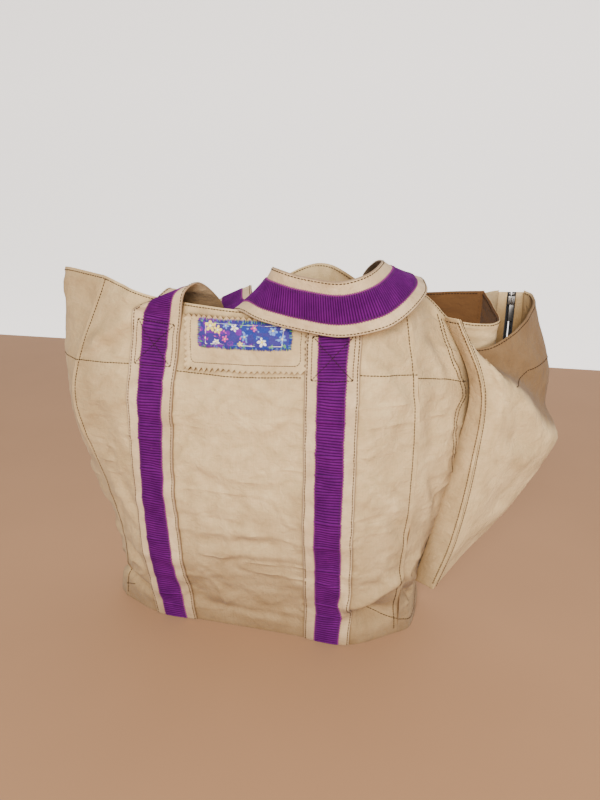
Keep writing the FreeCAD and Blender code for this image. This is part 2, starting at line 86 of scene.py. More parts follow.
# A loop's stations from its left root to its right one: middle point and direction across.
FRONT_LOOP = [
    ((-72, -77, 388), (0.94, 0, 0.30)),
    ((-62, -66, 394), (0.88, 0.16, 0.34)),
    ((-52, -46, 389), (0.84, 0.35, -0.20)),
    ((-53, -26, 366), (0.85, 0.30, -0.10)),
    ((-53, -10, 346), (0.80, 0.30, 0.35)),
    ((-34, 5, 325), (0.45, 0.5, 0.7)),
    ((11, 16, 316), (0, 0.62, 0.78)),
    ((54, 6, 327), (-0.45, 0.5, 0.7)),
    ((77, -12, 352), (-0.85, 0.25, 0.3)),
    ((88, -32, 383), (-0.97, 0.05, -0.2)),
    ((96, -52, 402), (-1, 0, 0)),
    ((100, -70, 402), (-1, 0, 0)),
    ((100, -78, 394), (-1, 0, 0)),
]
BACK_LOOP = [
    ((-52, 69, 363), (0.91, 0, 0.42)),
    ((-50, 60, 375), (0.91, 0, 0.42)),
    ((-36, 24, 367), (0.88, 0.1, 0.45)),
    ((-6, -13, 374), (0.82, 0.25, 0.45)),
    ((11, -46, 388), (0.74, 0.36, 0.52)),
    ((25, -72, 399), (0.60, 0.20, 0.75)),
    ((42, -92, 398), (0.28, -0.05, 0.95)),
    ((74, -98, 392), (0.05, -0.2, 0.98)),
    ((112, -101, 389), (-0.1, -0.2, 0.97)),
    ((143, -90, 397), (-0.45, -0.15, 0.88)),
    ((159, -58, 411), (-0.75, -0.2, 0.62)),
    ((153, -14, 414), (-0.9, -0.1, 0.4)),
    ((140, 35, 408), (-0.97, 0, 0.2)),
    ((130, 63, 401), (-1, 0, 0)),
    ((128, 74, 394), (-1, 0, 0)),
]
# The pocket's sheets, as columns of points from the near seam to the far one.
POCKET_FACE = [
    [(208, -10, 60), (226, -12, 125), (239, -14, 220), (241, -14, 300), (213, -8, 369)],
    [(238, 8, 100), (256, 4, 150), (266, 4, 220), (262, 6, 290), (236, 8, 338)],
    [(274, 34, 138), (288, 32, 170), (297, 34, 225), (292, 36, 290), (270, 38, 352)],
    [(296, 64, 176), (310, 66, 210), (318, 68, 250), (312, 72, 305), (288, 78, 372)],
    [(290, 92, 186), (300, 94, 220), (306, 96, 260), (302, 96, 310), (288, 94, 380)],
    [(281, 108, 186), (281, 108, 230), (281, 108, 280), (281, 108, 330), (281, 108, 384)],
]
NEAR_BELLOWS = [
    [(184, 1, 60), (199, 0, 125), (217, 0, 220), (227, -1, 300), (197, 1, 369)],
    [(207, -12, 60), (225, -14, 125), (238, -16, 220), (240, -16, 300), (211, -10, 369)],
]
FAR_BELLOWS = [
    [(221.5, 68, 186), (227.8, 69.6, 230), (233, 71, 280), (236, 71.8, 330), (237.2, 72, 385)],
    [(252, 102, 186), (252, 102, 230), (252, 102, 280), (252, 102, 330), (252, 102, 384)],
]
BOTTOM_BELLOWS = [
    [(190, 2, 61), (206, -9, 57)],
    [(202, 26, 96), (236, 9, 97)],
    [(212, 42, 128), (272, 34, 134)],
    [(219, 52, 158), (293, 62, 171)],
    [(223, 66, 180), (287, 90, 181)],
    [(222, 69, 184), (268, 105, 183)],
]
ZIP_FOOT = (267.0, 105.5, 192.0)
ZIP_TURN = 10.4


# ----------------------------------------------------------------- arithmetic
def smooth(x, low, high):
    t = np.clip((np.asarray(x, float) - low) / (high - low), 0, 1)
    return t * t * (3 - 2 * t)


def unit(a):
    return a / np.maximum(np.linalg.norm(a, axis=-1, keepdims=True), 1e-12)


def curve(points, stations, s):
    """Smooth curve through points at uneven stations, evaluated at every s."""
    points = np.asarray(points, float)
    stations = np.asarray(stations, float)
    s = np.asarray(s, float)
    n = len(points)
    wide = (-1,) + (1,) * (points.ndim - 1)
    low = np.maximum(np.arange(n) - 1, 0)
    high = np.minimum(np.arange(n) + 1, n - 1)
    slope = (points[high] - points[low]) / (stations[high] - stations[low]).reshape(wide)
    i = np.clip(np.searchsorted(stations, s, side="right") - 1, 0, n - 2)
    span = (stations[i + 1] - stations[i]).reshape(wide)
    t = ((s - stations[i]) / (stations[i + 1] - stations[i])).reshape(wide)
    return (points[i] * (2 * t ** 3 - 3 * t ** 2 + 1) + slope[i] * span * (t ** 3 - 2 * t ** 2 + t)
            + points[i + 1] * (3 * t ** 2 - 2 * t ** 3) + slope[i + 1] * span * (t ** 3 - t ** 2))


def chord(rows):
    """Stations 0 to 1 by the mean distance between neighbouring points of every row."""
    gaps = np.linalg.norm(np.diff(np.asarray(rows, float), axis=1), axis=2).mean(0)
    stations = np.concatenate([[0.0], np.cumsum(gaps)])
    return stations / stations[-1]


def cloth_grid(columns, us, vs):
    """Smooth sheet through columns of points, as a grid of len(us) by len(vs) points."""
    columns = np.asarray(columns, float)
    along = curve(columns.transpose(1, 0, 2), chord(columns), vs)
    return curve(along.transpose(1, 0, 2), chord(columns.transpose(1, 0, 2)), us)


def grid_size(p):
    """Mean width and length of a grid of points."""
    return (np.linalg.norm(np.diff(p, axis=0), axis=2).sum(0).mean(),
            np.linalg.norm(np.diff(p, axis=1), axis=2).sum(1).mean())


def grid_normals(p):
    a = np.gradient(p, axis=0)
    b = np.gradient(p, axis=1)
    return unit(np.cross(a, b))


def noise(x, y, seed):
    """Smooth value noise from -1 to 1, with one cell per unit of x and y."""
    table = np.random.RandomState(seed).uniform(-1, 1, (97, 97))
    x = np.asarray(x, float) + 31.7
    y = np.asarray(y, float) + 17.3
    xi = np.floor(x).astype(int)
    yi = np.floor(y).astype(int)
    fx = x - xi
    fy = y - yi
    fx = fx ** 3 * (fx * (fx * 6 - 15) + 10)
    fy = fy ** 3 * (fy * (fy * 6 - 15) + 10)

    def at(i, j):
        return table[(xi + i) % 97, (yi + j) % 97]

    low = at(0, 0) * (1 - fx) + at(1, 0) * fx
    high = at(0, 1) * (1 - fx) + at(1, 1) * fx
    return low * (1 - fy) + high * fy


class Surface:
    """Dense grid of points with normals on one side, read at any u and v from 0 to 1.

    The side is the one that faces toward, in the middle of the grid, or it is given.
    """

    def __init__(self, points, toward=None, side=1.0):
        self.p = points
        n = grid_normals(points)
        if toward is not None:
            middle = n[n.shape[0] // 2, n.shape[1] // 2]
            side = 1.0 if float(middle @ np.array(toward, float)) > 0 else -1.0
        self.side = side
        self.n = n * side
        self.width, self.height = map(float, grid_size(points))

    def read(self, u, v):
        u, v = np.broadcast_arrays(np.asarray(u, float), np.asarray(v, float))
        nu, nv = self.p.shape[:2]
        x = np.clip(u, 0, 1) * (nu - 1)
        y = np.clip(v, 0, 1) * (nv - 1)
        i = np.minimum(x.astype(int), nu - 2)
        j = np.minimum(y.astype(int), nv - 2)
        fx = (x - i)[..., None]
        fy = (y - j)[..., None]

        def mix(a):
            return ((a[i, j] * (1 - fx) + a[i + 1, j] * fx) * (1 - fy)
                    + (a[i, j + 1] * (1 - fx) + a[i + 1, j + 1] * fx) * fy)

        return mix(self.p), unit(mix(self.n))

    def flat_uv(self, u, v):
        """Texture coordinates in metres along the cloth."""
        return np.stack([u * self.width * MM, v * self.height * MM], -1)

    def u_at_x(self, x, v):
        """u where the row v crosses the plane at x."""
        us = np.linspace(0, 1, 400)
        xs = self.read(us, np.full(400, v))[0][:, 0]
        if xs[-1] < xs[0]:
            return float(np.interp(x, xs[::-1], us[::-1]))
        return float(np.interp(x, xs, us))

    def v_at_z(self, u, z):
        vs = np.linspace(0, 1, 400)
        zs = self.read(np.full(400, u), vs)[0][:, 2]
        return float(np.interp(z, zs, vs))


# ---------------------------------------------------------------- mesh making
def new_mesh(name, verts, faces, uv=None, sharp=None, flat=False):
    mesh = bpy.data.meshes.new(name)
    mesh.from_pydata((np.asarray(verts, float) * MM).tolist(), [], faces)
    mesh.update()
    if uv is not None:
        layer = mesh.uv_layers.new(name="UVMap")
        loops = np.zeros(len(mesh.loops), np.int32)
        mesh.loops.foreach_get("vertex_index", loops)
        layer.data.foreach_set("uv", np.asarray(uv, np.float32)[loops].ravel())
    if not flat:
        mesh.shade_smooth()
        if sharp:
            mesh.set_sharp_from_angle(angle=math.radians(sharp))
    obj = bpy.data.objects.new(name, mesh)
    bpy.context.scene.collection.objects.link(obj)
    return obj


def grid_faces(nu, nv, start, flip):
    i, j = np.meshgrid(np.arange(nu - 1), np.arange(nv - 1), indexing="ij")
    a = start + i * nv + j
    quads = np.stack([a, a + nv, a + nv + 1, a + 1], -1).reshape(-1, 4)
    return quads[:, ::-1] if flip else quads


def shell(name, outer, inner, uv, sharp=40.0):
    """Closed cloth layer between two grids; the rims are closed by one row of faces."""
    nu, nv = outer.shape[:2]
    verts = np.concatenate([outer.reshape(-1, 3), inner.reshape(-1, 3)])
    count = nu * nv
    a = outer[nu // 2, nv // 2]
    step = np.cross(outer[nu // 2 + 1, nv // 2] - a, outer[nu // 2, nv // 2 + 1] - a)
    flip = float(step @ (a - inner[nu // 2, nv // 2])) < 0
    faces = [grid_faces(nu, nv, 0, flip), grid_faces(nu, nv, count, not flip)]
    ring = ([i * nv for i in range(nu)] + [(nu - 1) * nv + j for j in range(1, nv)]
            + [i * nv + nv - 1 for i in range(nu - 2, -1, -1)] + list(range(nv - 2, 0, -1)))
    ring = np.array(ring)
    after = np.roll(ring, -1)
    rim = np.stack([ring, ring + count, after + count, after], -1)
    faces.append(rim[:, ::-1] if flip else rim)
    uv = np.concatenate([uv.reshape(-1, 2), uv.reshape(-1, 2)])
    return new_mesh(name, verts, np.concatenate(faces).tolist(), uv, sharp)


def set_grime(obj, outer, inner):
    """Painted shade at every vertex of a shell, 0 to 1: how far the canvas material darkens the cloth
    there.
    """
    values = np.concatenate([np.ravel(outer), np.ravel(inner)]).astype(np.float32)
    obj.data.attributes.new("painted_shade", "FLOAT", "POINT").data.foreach_set("value", values)


def wall_grime(p):
    """Painted shade: the canvas is painted browner towards the base and at the left-hand end, where less
    light falls.
    """
    low = 0.42 * smooth(p[..., 2], 240, 0)
    return np.maximum(low, 0.32 * smooth(p[..., 0], -100, -165))


def inside_grime(p):
    """Painted shade: the right-hand end of the mouth is painted as the darkest part of the inside."""
    return 0.98 * smooth(p[..., 0], 60, 125)


def above_ridge(u, v):
    """Height above the slanted ridge of the pocket's face, along the face."""
    line = np.interp(u, [0.0, 0.05, 0.26, 0.68, 1.0], [0.84, 0.818, 0.738, 0.378, 0.20])
    return (v - line) * FACE_HEIGHT


def face_grime(u, v):
    """Painted shade: the pocket's face is painted darker above its slanted ridge, where it turns away
    from the light.
    """
    fade = smooth(u, 0.02, 0.10) * (1 - 0.75 * smooth(u, 0.72, 0.98))
    return 0.80 * smooth(above_ridge(u, v), 2, 20) * fade


def edge_spacing(length, step, round_off):
    """Shares 0 to 1 along a length, with extra lines close to both ends for a rounded rim."""
    count = max(3, int(round((length - 2 * round_off) / step)) + 1)
    middle = np.linspace(round_off, length - round_off, count)
    head = round_off * np.array([0.0, 0.12, 0.4])
    return np.concatenate([head, middle, length - head[::-1]]) / length


def rounded(share, length, round_off):
    """Half-thickness factor, 1 in the middle and falling to a rounded edge at both ends."""
    d = np.minimum(share, 1 - share) * length
    t = np.clip(d / round_off, 0, 1)
    return 0.25 + 0.75 * np.sqrt(1 - (1 - t) ** 2)


def note_flat(obj, width, length):
    """Keeps a cut piece's flat size in millimetres as metres, on the object."""
    obj["flat_w"] = float(width) * MM
    obj["flat_l"] = float(length) * MM


def layer_on(name, surface, u_ends, v_ends, low, high, step=3.0, round_v=True, painted_shade=None):
    """Cloth layer on a surface, between two spans of it and between two offsets from it."""
    thick = high - low
    round_off = max(0.6, thick * 0.6)
    length = (v_ends[1] - v_ends[0]) * surface.height
    v_share = edge_spacing(length, step, round_off)
    width = (u_ends[1] - u_ends[0]) * surface.width
    u_share = edge_spacing(width, step, round_off)
    u, v = np.meshgrid(u_ends[0] + (u_ends[1] - u_ends[0]) * u_share,
                       v_ends[0] + (v_ends[1] - v_ends[0]) * v_share, indexing="ij")
    factor = rounded(u_share, width, round_off)[:, None] * np.ones(u.shape)
    if round_v:
        factor = np.minimum(factor, rounded(v_share, length, round_off)[None, :])
    middle = (low + high) / 2
    p, n = surface.read(u, v)
    outer = p + n * (middle + thick / 2 * factor)[..., None]
    inner = p + n * (middle - thick / 2 * factor)[..., None]
    obj = shell(name, outer, inner, surface.flat_uv(u, v), 50.0)
    note_flat(obj, *grid_size(p))
    if painted_shade:
        set_grime(obj, *painted_shade(u, v, p))
    return obj


# ------------------------------------------------------------------ materials
def nodes_of(name):
    mat = bpy.data.materials.new(name)
    mat.use_nodes = True
    tree = mat.node_tree
    tree.nodes.clear()
    out = tree.nodes.new("ShaderNodeOutputMaterial")
    shader = tree.nodes.new("ShaderNodeBsdfPrincipled")
    tree.links.new(shader.outputs[0], out.inputs[0])
    return mat, tree, shader


def put(tree, node, socket, value):
    if isinstance(value, (int, float, tuple, list)):
        node.inputs[socket].default_value = value
    else:
        tree.links.new(value, node.inputs[socket])


def maths(tree, kind, a, b=0.0, c=0.0):
    node = tree.nodes.new("ShaderNodeMath")
    node.operation = kind
    for i, value in enumerate((a, b, c)):
        put(tree, node, i, value)
    return node.outputs[0]


def blend_colours(tree, factor, a, b):
    node = tree.nodes.new("ShaderNodeMix")
    node.data_type = "RGBA"
    put(tree, node, 0, factor)
    put(tree, node, 6, a)
    put(tree, node, 7, b)
    return node.outputs[2]


def remap(tree, value, a, b, c, d):
    """Value moved from the range a to b to the range c to d, and held inside it."""
    node = tree.nodes.new("ShaderNodeMapRange")
    for i, x in enumerate((value, a, b, c, d)):
        put(tree, node, i, x)
    return node.outputs[0]


def fabric_xy(tree):
    """Position on the cloth in millimetres, as x and y."""
    uv = tree.nodes.new("ShaderNodeUVMap")
    uv.uv_map = "UVMap"
    apart = tree.nodes.new("ShaderNodeSeparateXYZ")
    tree.links.new(uv.outputs[0], apart.inputs[0])
    return [maths(tree, "MULTIPLY", apart.outputs[k], 1000.0) for k in (0, 1)]


def joined(tree, x, y, z=0.0):
    node = tree.nodes.new("ShaderNodeCombineXYZ")
    for i, value in enumerate((x, y, z)):
        put(tree, node, i, value)
    return node.outputs[0]


def texture(tree, vector, scale, detail=4.0, rough=0.55, distortion=0.0):
    node = tree.nodes.new("ShaderNodeTexNoise")
    tree.links.new(vector, node.inputs["Vector"])
    node.inputs["Scale"].default_value = scale
    node.inputs["Detail"].default_value = detail
    node.inputs["Roughness"].default_value = rough
    node.inputs["Distortion"].default_value = distortion
    return node.outputs[0]


def times(colour, red, green, blue):
    """Colour with each channel multiplied, as red, green, blue and alpha."""
    return (colour[0] * red, colour[1] * green, colour[2] * blue, 1.0)


def add_bump(tree, shader, height, strength, distance):
    bump = tree.nodes.new("ShaderNodeBump")
    bump.inputs["Strength"].default_value = strength
    bump.inputs["Distance"].default_value = distance
    tree.links.new(height, bump.inputs["Height"])
    tree.links.new(bump.outputs[0], shader.inputs["Normal"])


def scaled(tree, value, factor):
    return maths(tree, "MULTIPLY", value, factor)


def hollow_shade(tree):
    """Painted shade: 0 on open cloth, rising to 1 deep in a fold, a seam or the bag's inside."""
    wide = tree.nodes.new("ShaderNodeAmbientOcclusion")
    wide.inputs["Distance"].default_value = 0.24
    wide.samples = 8
    close = tree.nodes.new("ShaderNodeAmbientOcclusion")
    close.inputs["Distance"].default_value = 0.012
    close.samples = 6
    far_part = remap(tree, wide.outputs["AO"], 0.70, 0.22, 0.0, 1.0)
    near_part = remap(tree, close.outputs["AO"], 0.92, 0.40, 0.0, 0.75)
    return maths(tree, "MAXIMUM", far_part, near_part)


def canvas_material(name, colour, streak=1.0, edge=None):
    """Washed cotton canvas: plain weave, slubs along both threads and soft mottling, with painted shade
    in hollows, along a strap's folded edges and by the shade attribute.
    """
    mat, tree, shader = nodes_of(name)
    x, y = fabric_xy(tree)
    plane = joined(tree, x, y)
    # yarns of a plain weave, one over, one under, each a little wavy
    waves = []
    for across, drawn in ((x, (x, scaled(tree, y, 0.08))), (y, (scaled(tree, x, 0.08), y))):
        wobble = scaled(tree, texture(tree, joined(tree, *drawn), 0.9, 2), 0.5)
        wavy = maths(tree, "ADD", across, wobble)
        waves.append(maths(tree, "SINE", scaled(tree, wavy, math.pi / WEAVE_PITCH)))
    weave = maths(tree, "MULTIPLY", *waves)
    # slubs
    warp = texture(tree, joined(tree, x, scaled(tree, y, 0.05)), 1.1, 3, 0.6)
    weft = texture(tree, joined(tree, scaled(tree, x, 0.05), y), 1.1, 3, 0.6)
    slub = maths(tree, "ADD", warp, weft)
    mottle = texture(tree, plane, 0.035, 5, 0.62, 0.6)
    small = texture(tree, plane, 0.22, 4, 0.6)
    base = blend_colours(tree, remap(tree, mottle, 0.33, 0.68, 0.0, 1.0),
                         times(colour, 0.76, 0.72, 0.66), times(colour, 1.20, 1.20, 1.20))
    for factor, over in (
            (remap(tree, small, 0.35, 0.65, 0.0, 0.35), (1.08, 0.95, 0.86)),
            (remap(tree, slub, 0.8, 1.25, 0.0, 0.28 * streak), (0.62, 0.57, 0.50)),
            (remap(tree, weave, -1.0, 1.0, 0.16, 0.0), (0.5, 0.45, 0.38))):
        base = blend_colours(tree, factor, base, times(colour, *over))
    if edge:
        # painted shade: the folded edges of a strap are painted browner, as the shadow line along the
        # fold
        away = maths(tree, "ABSOLUTE", maths(tree, "SUBTRACT", x, edge))
        base = blend_colours(tree, remap(tree, away, edge - 1.6, edge - 0.3, 0.0, 0.75), base,
                             (0.20, 0.125, 0.075, 1.0))
    # painted shade: brown in folds, seams and the bag's inside, where the ambient occlusion finds them
    base = blend_colours(tree, hollow_shade(tree), base, times(colour, 0.30, 0.23, 0.16))
    # painted shade: the base colour darkens to brown by the mesh's shade attribute
    painted_shade = tree.nodes.new("ShaderNodeAttribute")
    painted_shade.attribute_name = "painted_shade"
    base = blend_colours(tree, painted_shade.outputs["Fac"], base, times(colour, 0.16, 0.09, 0.05))
    tree.links.new(base, shader.inputs["Base Color"])
    shader.inputs["Roughness"].default_value = 0.92
    shader.inputs["Specular IOR Level"].default_value = 0.18
    shader.inputs["Sheen Weight"].default_value = 0.08
    shader.inputs["Sheen Roughness"].default_value = 0.5
    crumple = texture(tree, plane, 0.11, 5, 0.6, 0.8)
    height = maths(tree, "ADD", scaled(tree, weave, 0.055),
                   maths(tree, "ADD", scaled(tree, slub, 0.22), scaled(tree, crumple, 2.1)))
    add_bump(tree, shader, height, 1.0, MM)
    return mat


def ribbon_material():
    """Purple grosgrain with a pinkish selvedge; the grooves between its ribs are painted dark as shade.
    """
    mat, tree, shader = nodes_of("purple_grosgrain")
    x, y = fabric_xy(tree)
    thread = maths(tree, "SINE", scaled(tree, x, 2 * math.pi / 0.5))
    cloud = texture(tree, joined(tree, x, y), 0.05, 4, 0.6)
    fine = texture(tree, joined(tree, scaled(tree, x, 0.3), y), 1.6, 3, 0.6)
    wave = maths(tree, "ABSOLUTE", maths(tree, "SINE", scaled(tree, y, math.pi / RIB_PITCH)))
    base = blend_colours(tree, remap(tree, cloud, 0.35, 0.65, 0.0, 1.0),
                         (0.072, 0.0022, 0.092, 1.0), (0.112, 0.0045, 0.135, 1.0))
    base = blend_colours(tree, remap(tree, fine, 0.45, 0.75, 0.0, 0.4), base, (0.17, 0.012, 0.19, 1.0))
    # painted shade: the grooves between the ribs are darkened
    base = blend_colours(tree, remap(tree, wave, 0.15, 0.85, 0.80, 0.0), base,
                         (0.012, 0.0006, 0.018, 1.0))
    away = maths(tree, "ABSOLUTE", maths(tree, "SUBTRACT", x, STRAP_W / 2))
    selvedge = remap(tree, away, RIBBON_W / 2 - 1.5, RIBBON_W / 2 - 0.7, 0.0, 0.85)
    base = blend_colours(tree, selvedge, base, (0.19, 0.035, 0.15, 1.0))
    tree.links.new(base, shader.inputs["Base Color"])
    shader.inputs["Roughness"].default_value = 0.7
    shader.inputs["Specular IOR Level"].default_value = 0.06
    shader.inputs["Sheen Weight"].default_value = 0.0
    height = maths(tree, "ADD", scaled(tree, thread, 0.03), scaled(tree, fine, 0.25))
    add_bump(tree, shader, height, 0.7, MM)
    return mat


def plain_material(name, colour, rough=0.7, metal=0.0, sheen=0.0, grain=0.0, spec=0.4):
    mat, tree, shader = nodes_of(name)
    coord = tree.nodes.new("ShaderNodeTexCoord")
    shade = texture(tree, coord.outputs["Object"], 900.0, 3, 0.6)
    base = blend_colours(tree, remap(tree, shade, 0.35, 0.65, 0.0, 1.0),
                         times(colour, 0.78, 0.78, 0.78), times(colour, 1.2, 1.2, 1.2))
    tree.links.new(base, shader.inputs["Base Color"])
    shader.inputs["Roughness"].default_value = rough
    shader.inputs["Metallic"].default_value = metal
    shader.inputs["Sheen Weight"].default_value = sheen
    shader.inputs["Specular IOR Level"].default_value = spec
    if grain:
        add_bump(tree, shader, texture(tree, coord.outputs["Object"], 2500.0, 2, 0.6), 1.0, grain * MM)
    return mat


CANVAS = canvas_material("washed_canvas", (0.640, 0.480, 0.262))
STRAP_CANVAS = canvas_material("strap_canvas", (0.66, 0.495, 0.300), streak=0.8, edge=STRAP_W / 2)
PATCH_CANVAS = canvas_material("patch_canvas", (0.64, 0.480, 0.270), streak=0.8)
RIBBON = ribbon_material()
RIBBON_EDGE = plain_material("ribbon_edge_thread", (0.055, 0.012, 0.050), 0.8)
THREAD = plain_material("brown_thread", (0.028, 0.015, 0.009), 0.85, grain=0.1, spec=0.1)
ZIP_CLOTH = plain_material("black_zip_tape", (0.012, 0.012, 0.014), 0.8, sheen=0.2, grain=0.15)
ZIP_NYLON = plain_material("black_nylon", (0.010, 0.010, 0.012), 0.42)
METAL = plain_material("nickel", (0.20, 0.19, 0.18), 0.38, metal=1.0)
LABEL_CLOTH = plain_material("label_ground", (0.035, 0.025, 0.20), 0.8)
PRINT_COLOURS = {
    "purple": (0.13, 0.010, 0.26),
    "blue": (0.012, 0.030, 0.24),
    "pale_blue": (0.13, 0.24, 0.60),
    "yellow": (0.80, 0.66, 0.12),
    "white": (0.78, 0.76, 0.72),
    "pink": (0.55, 0.06, 0.30),
    "green": (0.10, 0.34, 0.08),
}
PRINT = {key: plain_material("print_" + key, colour, 0.8) for key, colour in PRINT_COLOURS.items()}


def finish_piece(obj, material, body, replaces=()):
    obj.data.materials.clear()
    obj.data.materials.append(material)
    if body:
        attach(obj, body)
    if replaces:
        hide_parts(*replaces)
    return obj


# ---------------------------------------------------------------------- walls
def rib(name):
    *plan, rim = RIBS[name]
    return [(x, y, z) for (x, y), z in zip(plan, (FOOT,) + LEVELS)] + [rim]


def wrinkled(p, seeds, folds):
    """Adds dents, creases and folds along the normals of a wall's grid."""
    n = grid_normals(p)
    width, height = grid_size(p)
    u = np.linspace(0, 1, p.shape[0])[:, None]
    v = np.linspace(0, 1, p.shape[1])[None, :]
    x, y = np.broadcast_arrays(u * width, v * height)
    d = 1.9 * noise(x / 80, y / 62, seeds) + 0.95 * noise(x / 34 + 3, y / 26, seeds + 1)
    d = d + 0.5 * noise(x / 17 + noise(x / 40, y / 40, seeds + 4), y / 12, seeds + 2)
    sharp = 1 - np.abs(noise(x / 46 + 0.5 * noise(x / 60, y / 60, seeds + 5), y / 17, seeds + 3))
    d = d + 0.9 * np.clip(sharp - 0.72, 0, 1) / 0.28
    d = d + 0.22 * noise(x / 7, y / 7, seeds + 6)
    near_seam = np.exp(-x / 9) + np.exp(-(width - x) / 9) + np.exp(-(height - y) / 12)
    pucker = near_seam * noise(x / 30, y / 9, seeds + 7)
    d = d * (smooth(y, 4, 40) * smooth(x, 0, 22) * smooth(width - x, 0, 22)) * 1.7
    d = d + 0.9 * pucker * smooth(y, 4, 40) * smooth(x, 0, 5) * smooth(width - x, 0, 5)
    d = d + folds(x, y, width)
    return p + n * d[..., None]


def wall_surface(names, step, toward, seed, folds):
    columns = [rib(name) for name in names]
    rough = cloth_grid(columns, np.linspace(0, 1, 60), np.linspace(0, 1, 60))
    width, height = grid_size(rough)
    p = cloth_grid(columns, np.linspace(0, 1, int(width / step) + 1),
                   np.linspace(0, 1, int(height / step) + 1))
    side = Surface(p, toward).side
    return Surface(wrinkled(p, seed, lambda x, y, w: folds(x, y, w) * side), side=side)


def crease(x, y, start, end, depth, half):
    """Soft fold along a line, deepest in the middle of its length."""
    ax, ay = start
    bx, by = end
    length = math.hypot(bx - ax, by - ay)
    tx, ty = (bx - ax) / length, (by - ay) / length
    t = np.clip(((x - ax) * tx + (y - ay) * ty) / length, 0, 1)
    away = np.hypot(x - ax - t * length * tx, y - ay - t * length * ty)
    return depth * np.exp(-(away / half) ** 2) * smooth(t, 0, 0.3) * (1 - smooth(t, 0.7, 1))


def turned(x, y, start, end, depth, half, drop=1.5):
    """A ridge with a valley beside it, on the left of the line's direction."""
    ax, ay = start
    bx, by = end
    length = math.hypot(bx - ax, by - ay)
    sx, sy = -(by - ay) / length * half * drop, (bx - ax) / length * half * drop
    return (crease(x, y, start, end, depth, half)
            - crease(x, y, (ax + sx, ay + sy), (bx + sx, by + sy), depth * 0.9, half))


def dent(x, y, middle, radii, depth):
    return -depth * np.exp(-((x - middle[0]) / radii[0]) ** 2 - ((y - middle[1]) / radii[1]) ** 2)


def front_folds(x, y, _width):
    d = turned(x, y, (58, 376), (6, 322), 3.2, 7)
    d = d + dent(x, y, (26, 238), (17, 34), 4.5)
    d = d + turned(x, y, (10, 196), (44, 128), 3.0, 8)
    d = d + turned(x, y, (4, 92), (46, 60), 3.4, 7)
    d = d + crease(x, y, (-14, 52), (64, 30), -8.0, 6.5)
    d = d + turned(x, y, (108, 112), (250, 118), 2.6, 8)
    d = d + turned(x, y, (120, 152), (208, 140), 1.4, 8)
    d = d + crease(x, y, (104, 30), (262, 24), -1.6, 5)
    d = d + turned(x, y, (118, 232), (178, 196), 1.6, 9)
    d = d + turned(x, y, (246, 300), (188, 244), 1.3, 8)
    d = d + turned(x, y, (240, 208), (262, 120), 1.4, 7)
    d = d + turned(x, y, (316, 330), (352, 280), 2.6, 8)
    d = d + dent(x, y, (338, 236), (14, 34), 3.6)
    d = d + turned(x, y, (318, 176), (356, 118), 2.6, 8)
    # the boxed corner's tuck: an overhanging crease over a hollow
    d = d + dent(x, y, (326, 40), (26, 17), 17.0)
    d = d + crease(x, y, (280, 50), (376, 96), 8.0, 8)
    return d


def right_folds(x, y, _width):
    d = turned(x, y, (4, 352), (40, 302), 2.4, 7)
    d = d + dent(x, y, (18, 262), (11, 30), 4.0)
    d = d + turned(x, y, (6, 214), (34, 150), 2.8, 7)
    d = d + turned(x, y, (34, 120), (6, 84), 3.2, 7)
    d = d + crease(x, y, (0, 66), (52, 40), -6.0, 8)
    d = d + crease(x, y, (-6, 92), (56, 64), 4.0, 7)
    return d


def back_folds(x, y, width):
    d = turned(x, y, (width - 90, 300), (width - 30, 240), 3.0, 9)
    d = d + turned(x, y, (width - 96, 200), (width - 24, 170), 3.0, 9)
    d = d + crease(x, y, (width - 110, 42), (width + 20, 42), -11.0, 9)
    d = d + turned(x, y, (width - 80, 120), (width - 16, 88), 3.4, 8)
    d = d + turned(x, y, (150, 210), (290, 190), 2.2, 10)
    d = d + turned(x, y, (60, 320), (110, 210), 2.4, 9)
    d = d + turned(x, y, (300, 120), (420, 140), 2.4, 10)
    return d


front = wall_surface(["left_seam", "left_strap_edge", "front_left", "front_right",
                      "right_strap_edge", "right_seam"], 2.2, (0, -1, 0), 5, front_folds)
right = wall_surface(["right_seam", "side_fold", "pocket_edge", "right_end", "far_corner"],
                     2.2, (1, 0, 0), 25, right_folds)
back = wall_surface(["far_corner", "back_right", "back_middle", "back_left",
                     "left_back_corner", "left_peak", "left_seam"], 2.6, (0, 1, 0), 45, back_folds)


def wall_piece(name, surface, node):
    nu, nv = surface.p.shape[:2]
    us = np.linspace(0, 1, nu)
    vs = np.concatenate([[0.0], np.linspace(0, 1, nv)[1:-1], [1 - 0.5 / surface.height, 1.0]])
    u, v = np.meshgrid(us, vs, indexing="ij")
    thick = np.full(v.shape, CLOTH)
    thick[:, -1] = 0.5
    p, n = surface.read(u, v)
    outer = p - n * ((CLOTH - thick) / 2)[..., None]
    inner = p - n * (CLOTH - (CLOTH - thick) / 2)[..., None]
    obj = shell(name, outer, inner, surface.flat_uv(u, v))
    finish_piece(obj, CANVAS, "bag", [node])
    # painted shade on the walls, outside and inside
    set_grime(obj, wall_grime(p), inside_grime(p))
    note_flat(obj, surface.width, surface.height)
    return obj


front_panel = wall_piece("front_panel_cloth", front, "front_panel")
right_panel = wall_piece("right_side_panel_cloth", right, "right_side_panel")
back_panel = wall_piece("back_panel_cloth", back, "back_panel")


# ------------------------------------------------------------------- stitches
STITCH_SIDES = 6
STITCH_FLATNESS = 0.7


